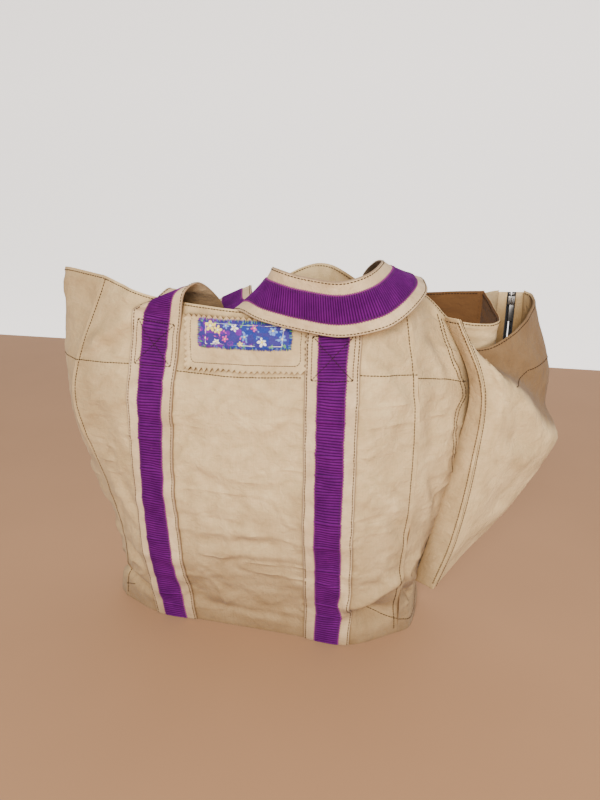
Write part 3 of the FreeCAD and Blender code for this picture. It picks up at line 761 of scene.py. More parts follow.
def stitch_capsule(length, radius):
    """Points and faces of one short thread, pointed at both ends and a little flattened."""
    sides = STITCH_SIDES
    points = []
    for x, r in ((-1.0, 0.0), (-0.72, 0.8), (0.0, 1.0), (0.72, 0.8), (1.0, 0.0)):
        if r == 0:
            points.append((x * length / 2, 0.0, 0.0))
            continue
        for k in range(sides):
            a = 2 * math.pi * k / sides
            points.append((x * length / 2, math.cos(a) * radius * r,
                           math.sin(a) * radius * r * STITCH_FLATNESS))
    unit_faces = []
    for k in range(sides):
        m = (k + 1) % sides
        unit_faces.append((0, 1 + m, 1 + k))
        for ring in range(2):
            a = 1 + ring * sides
            unit_faces.append((a + k, a + m, a + sides + m, a + sides + k))
        a = 1 + 2 * sides
        unit_faces.append((a + k, a + m, 1 + 3 * sides))
    return np.array(points), unit_faces


def stitches(name, lines, material, body, pitch=3.2, length=2.75, radius=0.50, seed=1):
    """Rows of short threads. Each line is its points and normals, already on the cloth."""
    rng = np.random.RandomState(seed)
    template, unit_faces = stitch_capsule(length, radius)
    verts = []
    faces = []
    for points, normals in lines:
        points = np.asarray(points, float)
        gaps = np.linalg.norm(np.diff(points, axis=0), axis=1)
        s = np.concatenate([[0.0], np.cumsum(gaps)])
        count = max(1, int(s[-1] / pitch))
        at = (np.arange(count) + 0.5) * (s[-1] / count)
        at = at + rng.uniform(-0.12, 0.12, count) * pitch * 0.5
        c = np.stack([np.interp(at, s, points[:, k]) for k in range(3)], -1)
        a = np.stack([np.interp(at - length / 2, s, points[:, k]) for k in range(3)], -1)
        b = np.stack([np.interp(at + length / 2, s, points[:, k]) for k in range(3)], -1)
        n = unit(np.stack([np.interp(at, s, np.asarray(normals)[:, k]) for k in range(3)], -1))
        t = unit(b - a)
        side = unit(np.cross(n, t))
        side = unit(side + t * rng.uniform(-0.08, 0.08, (count, 1)))
        t = np.cross(side, n)
        for k in range(count):
            start = len(verts) * len(template)
            verts.append(c[k] + template[:, :1] * t[k] + template[:, 1:2] * side[k]
                         + template[:, 2:] * n[k] + n[k] * radius * STITCH_FLATNESS * 0.35)
            faces.extend([tuple(start + q for q in f) for f in unit_faces])
    return finish_piece(new_mesh(name, np.concatenate(verts), faces), material, body)


ON_CLOTH = 0.1          # height of a row of stitches over the canvas


def line_on(surface, us, vs, offset, step=1.5):
    """Points and normals on a surface along a path of u and v, closely spaced."""
    us = np.asarray(us, float)
    vs = np.asarray(vs, float)
    length = np.hypot(np.diff(us) * surface.width, np.diff(vs) * surface.height)
    s = np.concatenate([[0.0], np.cumsum(length)])
    t = np.linspace(0, s[-1], max(2, int(s[-1] / step)))
    u = np.interp(t, s, us)
    v = np.interp(t, s, vs)
    p, n = surface.read(u, v)
    return p + n * offset, n


# ----------------------------------------------------------- straps and loops
def strap_x(name, v):
    """x of a strap's centre line, through its three places."""
    a, b, c = STRAPS[name]
    return a * (1 - v) * (1 - 2 * v) + 4 * b * v * (1 - v) + c * v * (2 * v - 1)


ACROSS = np.linspace(0, 1, 14)
RUN_TOP = 0.955


def run_rows(surface, name):
    """Points across the strap at rows up the wall, from its smaller to its larger x."""
    out = []
    for v in np.linspace(0.004, RUN_TOP, 190):
        centre = strap_x(name, v)
        u0 = surface.u_at_x(centre - STRAP_W / 2, v)
        u1 = surface.u_at_x(centre + STRAP_W / 2, v)
        u = u0 + (u1 - u0) * ACROSS
        p, n = surface.read(u, np.full(len(u), v))
        out.append(p + n * 1.15)
    return np.array(out)


def band(surface, left, right_name, loop):
    """The whole handle as rows across, and the rows where its loop starts and ends."""
    left_rows = run_rows(surface, left)
    right_rows = run_rows(surface, right_name)[::-1, ::-1]
    columns = [left_rows[k] for k in (-6, -3, -1)]
    for centre, direction in loop:
        half = unit(np.array(direction, float)) * STRAP_W / 2
        columns.append(np.array(centre, float) + (ACROSS[:, None] * 2 - 1) * half)
    columns = np.array(columns + [right_rows[k] for k in (0, 2, 5)])
    stations = chord(columns.transpose(1, 0, 2))
    low, high = stations[2], stations[-3]
    loop_rows = curve(columns, stations, np.linspace(low, high, 330))
    rows = np.concatenate([left_rows, loop_rows[1:-1], right_rows])
    first = len(left_rows)
    return rows, first, first + len(loop_rows) - 2


def band_surface(rows, toward, at_row):
    p = rows.transpose(1, 0, 2)
    n = grid_normals(p)
    side = 1.0 if float(n[len(p) // 2, at_row] @ np.array(toward, float)) > 0 else -1.0
    return Surface(p, side=side)


def nudge_loop(rows, seed, first, last, amount=0.8):
    """Small waves along a loop, fading out where it joins the sewn runs."""
    p = rows.transpose(1, 0, 2)
    n = grid_normals(p)
    along = np.arange(rows.shape[0], dtype=float)
    fade = smooth(along, first, first + 25) * (1 - smooth(along, last - 25, last))
    x = ACROSS[:, None] * STRAP_W
    y = along[None, :] * 2.0
    d = amount * (noise(x / 40, y / 45, seed) + 0.5 * noise(x / 18, y / 16, seed + 1)) * fade[None, :]
    return (p + n * d[..., None]).transpose(1, 0, 2)


def band_piece(name, surface, v0, v1, half_thick, body, replaces=()):
    """Strap canvas from side to side, cut square at v0 and v1."""
    obj = layer_on(name, surface, (0.0, 1.0), (v0, v1), -half_thick, half_thick, round_v=False)
    return finish_piece(obj, STRAP_CANVAS, body, replaces)


def ribbon_piece(name, surface, v0, v1, low, body, replaces=()):
    """Grosgrain: crosswise ribs as geometry, with edges that step in between the ribs."""
    length = (v1 - v0) * surface.height
    ribs = max(2, int(round(length / RIB_PITCH)))
    per = 6
    count = ribs * per + 1
    vs = np.linspace(v0, v1, count)
    wave = np.abs(np.sin(np.arange(count) * math.pi / per))
    half = RIBBON_W / 2 + wave - 0.5
    share = np.array([-1.0, -0.985, -0.93, -0.6, -0.3, 0.0, 0.3, 0.6, 0.93, 0.985, 1.0])
    u = 0.5 + share[:, None] * half[None, :] / STRAP_W
    v = np.broadcast_to(vs[None, :], u.shape)
    edge = np.array([0.15, 0.6, 1.0, 1, 1, 1, 1, 1, 1.0, 0.6, 0.15])[:, None]
    wobble = 0.06 * noise(share[:, None] * 6, np.arange(count)[None, :] / 5.0, 7)
    top = low + (0.28 + 0.55 * wave[None, :] + wobble) * edge
    p, n = surface.read(u, v)
    outer = p + n * top[..., None]
    inner = p + n * np.broadcast_to(low, u.shape)[..., None]
    ribs_up = np.broadcast_to(np.arange(count) / per * RIB_PITCH, u.shape)
    uv = np.stack([u * STRAP_W * MM, ribs_up * MM], -1)
    obj = shell(name, outer, inner, uv, 60)
    note_flat(obj, *grid_size(p))
    return finish_piece(obj, RIBBON, body, replaces)


BRIDGE = 20             # rows of a loop that belong to the bend piece between a run and the loop


def build_band(tag, surface, left, right_name, loop, body, toward, seed):
    rows, first, last = band(surface, left, right_name, loop)
    rows = nudge_loop(rows, seed, first, last)
    total = rows.shape[0] - 1
    strip = band_surface(rows, toward, first // 2)
    # shares of the rows at which the band is cut
    cuts = [0, first - 2, first + BRIDGE, last - BRIDGE, last + 2, total]
    cuts = [c / total for c in cuts]
    names = ["left_run", "left_bend", "loop", "right_bend", "right_run"]
    # the body that each part rides on, and the nodes that its canvas and ribbon replace
    riders = {
        "left_run": ("bag", left + "_strap", left + "_ribbon"),
        "loop": (body, tag + "_handle_canvas", tag + "_handle_ribbon"),
        "right_run": ("bag", right_name + "_strap", right_name + "_ribbon"),
    }
    out = {}
    for name, v0, v1 in zip(names, cuts, cuts[1:]):
        owner, *nodes = riders.get(name, (None,))
        canvas = band_piece("%s_%s_canvas" % (tag, name), strip, v0, v1, HALF_T, owner, nodes[:1])
        ribbon = ribbon_piece("%s_%s_ribbon" % (tag, name), strip, v0, v1, HALF_T + 0.05, owner,
                              nodes[1:])
        out[name] = (canvas, ribbon, v0, v1)
    return strip, out


front_strip, front_band = build_band("front", front, "front_left", "front_right", FRONT_LOOP,
                                     "front_handle", (0, -1, 0), 71)
back_strip, back_band = build_band("back", back, "back_left", "back_right", BACK_LOOP,
                                   "back_handle", (0, 1, 0), 81)


# --------------------------------------------------------------------- camera
def camera():
    data = bpy.data.cameras.new("camera")
    data.lens = 27.63
    data.sensor_width = 36.0
    data.clip_start = 0.01
    obj = bpy.data.objects.new("camera", data)
    obj.location = (0.209, -0.6278, 0.480)
    obj.rotation_euler = (math.radians(72), 0, math.radians(14.4))
    bpy.context.scene.collection.objects.link(obj)
    bpy.context.scene.camera = obj


camera()


# ------------------------------------------------- straps under and at the base
def under_band(tag, at_start, centre):
    """The strap round the front edge of the base, under it and up at the back."""
    ends = []
    for strip in (front_strip, back_strip):
        rows = strip.p.transpose(1, 0, 2)
        picked = rows[[6, 3, 0]] if at_start else rows[[-7, -4, -1]]
        picked = picked if picked[0, 0, 0] < picked[0, -1, 0] else picked[:, ::-1]
        ends.append(picked)
    x = centre + (ACROSS * 2 - 1) * STRAP_W / 2
    columns = list(ends[0])
    for y, z in ((-55.4, 1.9), (-52.5, 1.75), (-30, 1.75), (0, 1.75), (30, 1.75), (57.0, 1.75),
                 (61.0, 1.9)):
        columns.append(np.stack([x, np.full(len(x), y), np.full(len(x), z)], -1))
    columns = np.array(columns + list(ends[1][::-1]))
    stations = chord(columns.transpose(1, 0, 2))
    rows = curve(columns, stations, np.linspace(stations[2], stations[-3], 90))
    strip = band_surface(rows, (0, 0, -1), 45)
    canvas = band_piece("under_%s_canvas" % tag, strip, 0, 1, HALF_T - 0.25, "bag",
                        ["under_%s_strap" % tag])
    ribbon = ribbon_piece("under_%s_ribbon_cloth" % tag, strip, 0, 1, HALF_T - 0.2, "bag",
                          ["under_%s_ribbon" % tag])
    return canvas, ribbon


under_left = under_band("left", True, STRAPS["front_left"][0])
under_right = under_band("right", False, STRAPS["front_right"][0])


# ----------------------------------------------------------------------- base
def base_piece():
    """Base canvas: it lies on the surface and rises over the two straps."""
    outline = np.array([r[0] for r in RIBS.values()], float)
    centre = np.array([0.0, 3.0])
    rings = 26
    per = 160
    closed = np.concatenate([outline, outline[:1]])
    s = np.concatenate([[0], np.cumsum(np.linalg.norm(np.diff(closed, axis=0), axis=1))])
    at = np.linspace(0, s[-1], per, endpoint=False)
    edge = np.stack([np.interp(at, s, closed[:, k]) for k in range(2)], -1)
    edge = edge * (1 - 2.2 / np.linalg.norm(edge, axis=1, keepdims=True))
    layers = []
    for low in (0.0, CLOTH):
        points = []
        for k in range(rings + 1):
            r = k / rings
            xy = centre + (edge - centre) * r
            lift = 0.15
            for strap in ("front_left", "front_right"):
                lift = lift + 2.75 * (1 - smooth(np.abs(xy[:, 0] - STRAPS[strap][0]), 27.0, 31.0))
            points.append(np.column_stack([xy, lift + low]))
        layers.append(np.array(points))
    verts = np.concatenate([layers[0].reshape(-1, 3), layers[1].reshape(-1, 3)])
    count = (rings + 1) * per
    faces = []
    for k in range(rings):
        for m in range(per):
            a, b = k * per + m, k * per + (m + 1) % per
            c, d = (k + 1) * per + (m + 1) % per, (k + 1) * per + m
            faces.append((a, b, c, d))
            faces.append((count + d, count + c, count + b, count + a))
    for m in range(per):
        a, b = rings * per + m, rings * per + (m + 1) % per
        faces.append((a, b, count + b, count + a))
    uv = verts[:, :2] * MM
    obj = new_mesh("base_panel_cloth", verts, faces, uv, 40)
    note_flat(obj, 112, 365)
    return finish_piece(obj, CANVAS, "bag", ["base_panel"])


base = base_piece()


# -------------------------------------------------------------------- facings
def facing(node, surface):
    # the facing takes the painted shade of the mouth's inside
    obj = layer_on(node + "_cloth", surface, (0.006, 0.994),
                   (1 - FACING_DEPTH / surface.height, 1 - 0.4 / surface.height),
                   -2.45, -1.28, 3.5, painted_shade=lambda _u, _v, p: (inside_grime(p),) * 2)
    return finish_piece(obj, CANVAS, "bag", [node])


front_facing = facing("front_facing", front)
back_facing = facing("back_facing", back)


# ------------------------------------------------------------ patch and label
PATCH = {"x": 12.5, "top": 374.0, "w": 128.0, "h": 54.0}


def on_patch(x, y, offset):
    """Point and normal on the front wall at x and y from the patch's middle top, y down."""
    x = np.asarray(x, float)
    y = np.asarray(y, float)
    level = (PATCH["top"] - y + 0.04 * x).ravel()
    v = np.array([front.v_at_z(front.u_at_x(PATCH["x"], 0.9), z) for z in level])
    u = np.array([front.u_at_x(PATCH["x"] + a, b) for a, b in zip(x.ravel(), v)])
    p, n = front.read(u, v)
    o = np.broadcast_to(np.asarray(offset, float), x.shape).ravel()
    return (p + n * o[:, None]).reshape(x.shape + (3,)), n.reshape(x.shape + (3,))


def make_patch():
    """Patch with pinked edges: every other point of its rim is cut back."""
    nx, ny = 45, 21
    xs = np.linspace(-PATCH["w"] / 2, PATCH["w"] / 2, nx)
    ys = np.linspace(0, PATCH["h"], ny)
    x, y = np.meshgrid(xs, ys, indexing="ij")
    bite = 2.9
    odd_x = (np.arange(nx) % 2)[:, None] * np.ones((1, ny))
    odd_y = np.ones((nx, 1)) * (np.arange(ny) % 2)[None, :]
    x[0] += bite * odd_y[0]
    x[-1] -= bite * odd_y[-1]
    y[:, 0] += bite * odd_x[:, 0]
    y[:, -1] -= bite * odd_x[:, -1]
    edge = np.minimum(np.minimum(np.arange(nx)[:, None], np.arange(nx)[::-1][:, None]),
                      np.minimum(np.arange(ny)[None, :], np.arange(ny)[::-1][None, :]))
    lift = 1.5 * np.exp(-edge / 1.2) * (1 + 0.5 * noise(x / 14, y / 14, 91))
    outer, _ = on_patch(x, y, 1.25 + lift)
    inner, _ = on_patch(x, y, 0.15 + lift)
    uv = np.stack([x * MM, y * MM], -1)
    obj = shell("patch_cloth", outer, inner, uv, 50)
    note_flat(obj, PATCH["w"], PATCH["h"])
    return finish_piece(obj, PATCH_CANVAS, "bag", ["maker_patch"])


patch_cloth = make_patch()


def rounded_rectangle(x0, y0, x1, y1, r, step=1.0):
    """Evenly spaced path round a rectangle with rounded corners."""
    out = []
    for cx, cy, a0 in ((x1 - r, y0 + r, -90), (x1 - r, y1 - r, 0), (x0 + r, y1 - r, 90),
                       (x0 + r, y0 + r, 180)):
        for k in range(7):
            a = math.radians(a0 + 15 * k)
            out.append((cx + r * math.cos(a), cy + r * math.sin(a)))
    out.append(out[0])
    out = np.array(out)
    s = np.concatenate([[0], np.cumsum(np.linalg.norm(np.diff(out, axis=0), axis=1))])
    t = np.arange(0, s[-1], step)
    return np.stack([np.interp(t, s, out[:, k]) for k in range(2)], -1)


def make_label():
    """Printed label with flowers and a plain white frame, its border oversewn."""
    # the print is drawn on a field of w by h, which shrinks onto the patch
    w, h = 104.0, 31.0
    y0 = 6.0
    shrink_x, shrink_y = 0.904, 0.80
    rng = np.random.RandomState(14)

    def patch_point(x, y, offset):
        return on_patch(np.asarray(x) * shrink_x, 4.5 + (np.asarray(y) - y0) * shrink_y, offset)

    x, y = np.meshgrid(np.linspace(-w / 2, w / 2, 40), np.linspace(y0, y0 + h, 13), indexing="ij")
    outer, _ = patch_point(x, y, 1.75)
    inner, _ = patch_point(x, y, 1.35)
    obj = shell("label_cloth", outer, inner, np.stack([x, y], -1) * MM, 50)
    note_flat(obj, w * shrink_x, h * 0.79)
    obj = finish_piece(obj, LABEL_CLOTH, "bag", ["printed_label"])
    shapes = {}

    def print_shape(colour, px, py, layer):
        shapes.setdefault(colour, []).append((px, py, 1.78 + 0.03 * layer))

    def blob(colour, cx, cy, rx, ry, turn, layer):
        a = np.linspace(0, 2 * math.pi, 9, endpoint=False)
        px = cx + math.cos(turn) * rx * np.cos(a) - math.sin(turn) * ry * np.sin(a)
        py = cy + math.sin(turn) * rx * np.cos(a) + math.cos(turn) * ry * np.sin(a)
        print_shape(colour, np.clip(px, -w / 2 + 0.3, w / 2 - 0.3),
                    np.clip(py, y0 + 0.3, y0 + h - 0.3), layer)

    def flower(colour, cx, cy, r):
        for k in range(5):
            a = cx + 2 * math.pi * k / 5
            blob(colour, cx + 0.6 * r * math.cos(a), cy + 0.6 * r * math.sin(a), 0.42 * r, 0.27 * r,
                 a, 4)
        blob("white" if colour == "yellow" else "yellow", cx, cy, 0.24 * r, 0.24 * r, 0, 5)

    # ground: purple to the left, blue to the right
    for _ in range(60):
        cx = rng.uniform(-w / 2, w / 2)
        cy = rng.uniform(y0, y0 + h)
        colour = "purple" if cx < -10 + rng.uniform(-16, 16) else "blue"
        blob(colour, cx, cy, rng.uniform(3, 7), rng.uniform(2, 4), rng.uniform(0, 3), 0)
    for _ in range(26):
        cx = rng.uniform(-w / 2, w / 2)
        cy = rng.choice([rng.uniform(y0, y0 + 6), rng.uniform(y0 + h - 6, y0 + h)])
        blob("green", cx, cy, rng.uniform(1.6, 3.4), rng.uniform(0.6, 1.1), rng.uniform(0, 3), 1)
    for _ in range(16):
        blob("pale_blue", rng.uniform(0, w / 2), rng.uniform(y0, y0 + h), rng.uniform(1.5, 3), 1.0,
             rng.uniform(0, 3), 1)
        blob("pink", rng.uniform(-w / 2, 4), rng.uniform(y0 + 8, y0 + h), rng.uniform(1.2, 2.6), 0.9,
             rng.uniform(0, 3), 1)
    for colour, cx, cy, r in (
            ("yellow", -38, 13, 7.0), ("yellow", -29, 17, 5.2), ("white", -31, 31, 4.6),
            ("pink", -20, 27, 4.0), ("purple", -44, 27, 4.2), ("white", -10, 14, 4.6),
            ("pale_blue", 2, 24, 4.4), ("pink", 13, 13, 4.8), ("white", 22, 29, 5.4),
            ("pale_blue", 33, 16, 5.0), ("pale_blue", 43, 26, 5.2), ("white", 44, 12, 3.6),
            ("yellow", -3, 32, 3.6), ("purple", 10, 33, 3.2), ("pale_blue", -20, 12, 3.6)):
        flower(colour, cx, cy, r)
    # plain white frame: two long bars, then two upright ones
    there = np.linspace(0, 1, 12)
    along = np.concatenate([there, there[::-1]])
    side = np.repeat([0.0, 1.0], 12)
    for x0, x1, ya, yb in ((-44, 44, 9.6, 10.3), (-44, 44, 33.4, 34.1),
                           (-44, -43.3, 9.6, 34.1), (43.3, 44, 9.6, 34.1)):
        a, b = (along, side) if x1 - x0 > yb - ya else (side, along)
        print_shape("white", x0 + (x1 - x0) * a, ya + (yb - ya) * b, 3)
    verts = []
    faces = []
    owner = []
    for colour, items in shapes.items():
        for px, py, height in items:
            p, _ = patch_point(px, py, height)
            start = sum(len(q) for q in verts)
            verts.append(p)
            faces.append(tuple(range(start, start + len(px))))
            owner.append(list(PRINT).index(colour))
    prints = new_mesh("label_print", np.concatenate(verts), faces, flat=True)
    for material in PRINT.values():
        prints.data.materials.append(material)
    prints.data.polygons.foreach_set("material_index", owner)
    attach(prints, "bag")
    # oversewn border
    border = rounded_rectangle(-w / 2, y0, w / 2, y0 + h, 1.2, 0.85)
    middle = np.array([0.0, y0 + h / 2])
    groups = {"blue": [], "purple": [], "green": [], "pale_blue": []}
    for k, (bx, by) in enumerate(border):
        way = np.array([bx, by]) - middle
        way = np.array([np.sign(way[0]) if abs(way[0]) > w / 2 - 1.3 else 0.25 * rng.uniform(-1, 1),
                        np.sign(way[1]) if abs(way[1]) > h / 2 - 1.3 else 0.25 * rng.uniform(-1, 1)])
        way = way / np.linalg.norm(way)
        reach = rng.uniform(1.0, 2.6)
        ends = np.array([[bx, by] - way * 1.6, [bx, by], [bx, by] + way * reach])
        p, n = patch_point(ends[:, 0], ends[:, 1], 1.85)
        side = "purple" if bx < -18 + rng.uniform(-14, 14) else "blue"
        colour = side if rng.rand() < 0.62 else rng.choice(["green", "pale_blue", "blue"])
        groups[str(colour)].append((p, n))
    for colour, lines in groups.items():
        if lines:
            stitches("label_border_" + colour, lines, PRINT[colour], "bag", pitch=9.0,
                     length=3.4, radius=0.3, seed=3)
    return obj, prints


label_cloth, label_prints = make_label()


# ---------------------------------------------------------------- side pocket
def strip_surface(table, nu, nv, toward, seed, amount, folds=None):
    """A pocket's sheet through columns of points, with its own dents and folds."""
    p = cloth_grid(table, np.linspace(0, 1, nu), np.linspace(0, 1, nv))
    n = grid_normals(p)
    width, height = grid_size(p)
    u = np.linspace(0, 1, nu)[:, None]
    v = np.linspace(0, 1, nv)[None, :]
    x, y = np.broadcast_arrays(u * width, v * height)
    d = amount * (1.6 * noise(x / 60, y / 50, seed) + 0.8 * noise(x / 26, y / 22, seed + 1)
                  + 0.45 * noise(x / 12, y / 11, seed + 2) + 0.2 * noise(x / 6, y / 6, seed + 3))
    fade = smooth(x, 0, 14) * smooth(width - x, 0, 14) * smooth(y, 0, 14)
    p = p + n * (d * fade)[..., None]
    bare = Surface(p, toward)
    if folds is not None:
        p = p + bare.n * folds(u, v, x, y)[..., None]
    return Surface(p, side=bare.side)


def face_folds(u, v, x, y):
    """The pocket's face folds along a slanted ridge below its top edge."""
    above = above_ridge(u, v)
    upper = np.exp(-(np.maximum(above, 0) / 30) ** 1.3)
    lower = np.exp(-(-np.minimum(above, 0) / 60) ** 1.5)
    d = 15.0 * np.where(above > 0, upper, lower)
    d = d - 8.0 * np.exp(-((above - 38) / 24) ** 2)
    d = d * smooth(u, 0.0, 0.12) * smooth(1 - u, 0, 0.25)
    d = d + turned(x, y, (24, 120), (86, 92), 2.2, 9) + dent(x, y, (60, 60), (26, 22), 4.0)
    return d


def with_middle(first, last):
    """Two rows of points with a third halfway between them."""
    first, last = np.array(first, float), np.array(last, float)
    return [first, (first + last) / 2, last]


face = strip_surface(POCKET_FACE, 110, 130, (1, -0.5, 0), 301, 0.9, face_folds)
near = strip_surface(with_middle(*NEAR_BELLOWS), 16, 130, (0, -1, 0), 321, 0.5)
far = strip_surface(with_middle(*FAR_BELLOWS), 20, 90, (-1, 1, 0), 331, 0.5)
bottom = strip_surface([with_middle(*ends) for ends in BOTTOM_BELLOWS], 70, 24, (0.3, 0, -1), 341, 0.6)


def pocket_piece(node, surface, u_ends=(0.0, 1.0), v_ends=(0.0, 1.0), low=-CLOTH, high=0.0, step=3.0,
                 painted_shade=None):
    obj = layer_on(node + "_cloth", surface, u_ends, v_ends, low, high, step, painted_shade=painted_shade)
    return finish_piece(obj, CANVAS, "bag", [node])


# painted shade of the pocket's face, the same on both its sides
def on_both_sides(u, v, _p):
    return (face_grime(u, v),) * 2


pocket_face = pocket_piece("pocket_face", face, step=2.4, painted_shade=on_both_sides)
pocket_hem = pocket_piece("pocket_hem", face, (0.01, 0.99), (0.80, 0.998), -2.5, -1.28,
                          painted_shade=on_both_sides)
pocket_near = pocket_piece("pocket_near_bellows", near)
pocket_far = pocket_piece("pocket_far_bellows", far)
pocket_bottom = pocket_piece("pocket_bottom_bellows", bottom)


# ------------------------------------------------------------------------ zip
ZIP_FRAME = Matrix.Translation(Vector(ZIP_FOOT)) @ Matrix.Rotation(math.radians(ZIP_TURN), 4, "Z")


def zip_points(points):
    return np.array([ZIP_FRAME @ Vector(p) for p in points])


def soft_boxes(name, boxes, bevel, material, body="bag", replaces=()):
    """Boxes joined into one piece, in the zip's own frame, each as its low corner and its size."""
    objs = []
    for k, (low, size) in enumerate(boxes):
        lo = np.array(low, float)
        hi = lo + np.array(size, float)
        corners = [(x, y, z) for x in (lo[0], hi[0]) for y in (lo[1], hi[1]) for z in (lo[2], hi[2])]
        faces = [(0, 1, 3, 2), (4, 6, 7, 5), (0, 4, 5, 1), (2, 3, 7, 6), (0, 2, 6, 4), (1, 5, 7, 3)]
        obj = new_mesh("%s_%d" % (name, k), zip_points(corners), faces, flat=True)
        mod = obj.modifiers.new("bevel", "BEVEL")
        mod.width = bevel * MM
        mod.segments = 3
        mod.limit_method = "NONE"
        objs.append(obj)
    bpy.context.view_layer.update()
    graph = bpy.context.evaluated_depsgraph_get()
    verts, faces = [], []
    for obj in objs:
        rounded_box = obj.evaluated_get(graph)
        mesh = rounded_box.to_mesh()
        start = len(verts)
        verts += [tuple(v.co * 1000) for v in mesh.vertices]
        faces += [tuple(start + i for i in p.vertices) for p in mesh.polygons]
        rounded_box.to_mesh_clear()
    for obj in objs:
        bpy.data.objects.remove(obj, do_unlink=True)
    whole = new_mesh(name, verts, faces, [(v[0] * MM, v[2] * MM) for v in verts], sharp=35)
    return finish_piece(whole, material, body, replaces)


ZIP_LENGTH = 190


def make_coil(side, sign):
    """Nylon coil: one tilted loop after another up the edge of a tape."""
    turns, per, sides, radius = 128, 10, 5, 0.36
    t = np.linspace(0, turns * 2 * math.pi, turns * per)
    path = np.stack([sign * 2.0 + 1.15 * np.cos(t) * sign, -1.05 + 0.72 * np.sin(t),
                     3.4 + 181.5 * t / t[-1]], -1)
    tangent = unit(np.gradient(path, axis=0))
    normal = unit(np.stack([np.cos(t) * sign, np.sin(t), np.zeros_like(t)], -1))
    other = unit(np.cross(tangent, normal))
    rings = []
    for k in range(sides):
        a = 2 * math.pi * k / sides
        rings.append(path + radius * (math.cos(a) * normal + math.sin(a) * other))
    verts = np.stack(rings, 1).reshape(-1, 3)
    n = len(path)
    faces = []
    for i in range(n - 1):
        for k in range(sides):
            m = (k + 1) % sides
            faces.append((i * sides + k, i * sides + m, (i + 1) * sides + m, (i + 1) * sides + k))
    faces += [tuple(range(sides))[::-1], tuple((n - 1) * sides + k for k in range(sides))]
    coil = new_mesh("zip_coil_%s_nylon" % side, zip_points(verts), faces)
    finish_piece(coil, ZIP_NYLON, "bag", ["zip_coil_" + side])


def make_zip():
    """Two tapes with their coils and stops, the slider near the top and its hanging pull."""
    for side, sign, tape_x, stop_x in (("bag_side", -1, -12.7, -3.2), ("pocket_side", 1, 0.7, 0.7)):
        soft_boxes("zip_tape_%s_cloth" % side, [((tape_x, 0, 0), (12, 0.8, ZIP_LENGTH))], 0.25,
                   ZIP_CLOTH, replaces=["zip_tape_" + side])
        make_coil(side, sign)
        soft_boxes("zip_top_stop_%s_metal" % side, [((stop_x, -2.45, 186.8), (2.5, 2.4, 2.4))], 0.5,
                   METAL, replaces=["zip_top_stop_" + side])
    soft_boxes("zip_bottom_stop_metal", [((-3.7, -2.45, 0.2), (7.4, 2.4, 2.6))], 0.6, METAL,
               replaces=["zip_bottom_stop"])
    b = ZIP_LENGTH - 3.8 - 10
    # the slider's two plates, the post between them and the bail's legs and bar
    soft_boxes("zip_slider_metal",
               [((-4, -4.1, b), (8, 1.6, 10)), ((-4, 1.2, b), (8, 1.0, 10)),
                ((-0.4, -3.0, b + 6.6), (0.8, 4.6, 3)), ((-1, -6.4, b + 1.2), (2, 2.4, 1.4)),
                ((-1, -6.4, b + 6.6), (2, 2.4, 1.4)), ((-1, -7.3, b + 1.2), (2, 1.0, 6.8))],
               0.7, METAL, "zip_slider", ["zip_slider"])
    # the pull's eye as thin bars, joined to its tab
    eye = b + 5.4
    soft_boxes("zip_pull_metal",
               [((-2.5, -5.8, eye - 0.5), (5, 1.2, 1.0)), ((-2.5, -5.8, eye - 5.6), (1.0, 1.2, 5.8)),
                ((1.5, -5.8, eye - 5.6), (1.0, 1.2, 5.8)), ((-2.5, -5.8, eye - 24.0), (5.0, 1.2, 18.8))],
               0.35, METAL, "zip_pull", ["zip_pull"])


make_zip()
# canvas folded back along both tapes
for side, low, wide in (("bag_side", -15.6, 10.8), ("pocket_side", 4.8, 10.1)):
    soft_boxes("zip_fold_%s_cloth" % side, [((low, -1.5, 0), (wide, 1.1, ZIP_LENGTH))],
                                0.3, CANVAS)


# --------------------------------------------------------------- stitch lines
def strip_line(strip, across_mm, v0, v1, offset):
    """A row of stitches along a strap, across_mm from its middle line."""
    u = 0.5 + across_mm / STRAP_W
    return line_on(strip, [u, u], [v0, v1], offset)


def strap_stitches(tag, strip, pieces):
    """Brown rows along the strap's edges and purple ones along the ribbon's."""
    for part, owner in (("left_run", "bag"), ("loop", tag + "_handle"), ("right_run", "bag"),
                        ("left_bend", None), ("right_bend", None)):
        v0, v1 = pieces[part][2], pieces[part][3]
        lines = [strip_line(strip, sign * 23.6, v0, v1, HALF_T) for sign in (-1, 1)]
        name = "%s_%s_stitches" % (tag, part)
        obj = stitches(name, lines, THREAD, owner, seed=len(name))
        inset = RIBBON_W / 2 - HEM_ROW
        edge = [strip_line(strip, sign * inset, v0, v1, HALF_T + 0.78) for sign in (-1, 1)]
        purple = stitches(name + "_ribbon", edge, RIBBON_EDGE, owner, pitch=2.9, length=1.9,
                          radius=0.36, seed=len(name) + 1)
        pieces[part] = pieces[part] + (obj, purple)


strap_stitches("front", front_strip, front_band)
strap_stitches("back", back_strip, back_band)


def box_cross(strip, v0, v1):
    """Stitched rectangle with a cross, over the strap and its ribbon."""
    a = 19.5

    def path(points):
        us = [0.5 + x / STRAP_W for x, _ in points]
        vs = [v0 + (v1 - v0) * y for _, y in points]
        p, n = line_on(strip, us, vs, 0.0)
        s = np.linspace(0, 1, len(p))
        xs = np.interp(s, np.linspace(0, 1, len(points)), [q[0] for q in points])
        lift = HALF_T + np.where(np.abs(xs) < RIBBON_W / 2 + 0.4, 0.85, 0.15)
        return p + n * lift[:, None], n

    return [path([(-a, 0), (a, 0)]), path([(-a, 1), (a, 1)]), path([(-a, 0), (-a, 1)]),
            path([(a, 0), (a, 1)]), path([(-a, 0), (a, 1)]), path([(-a, 1), (a, 0)])]


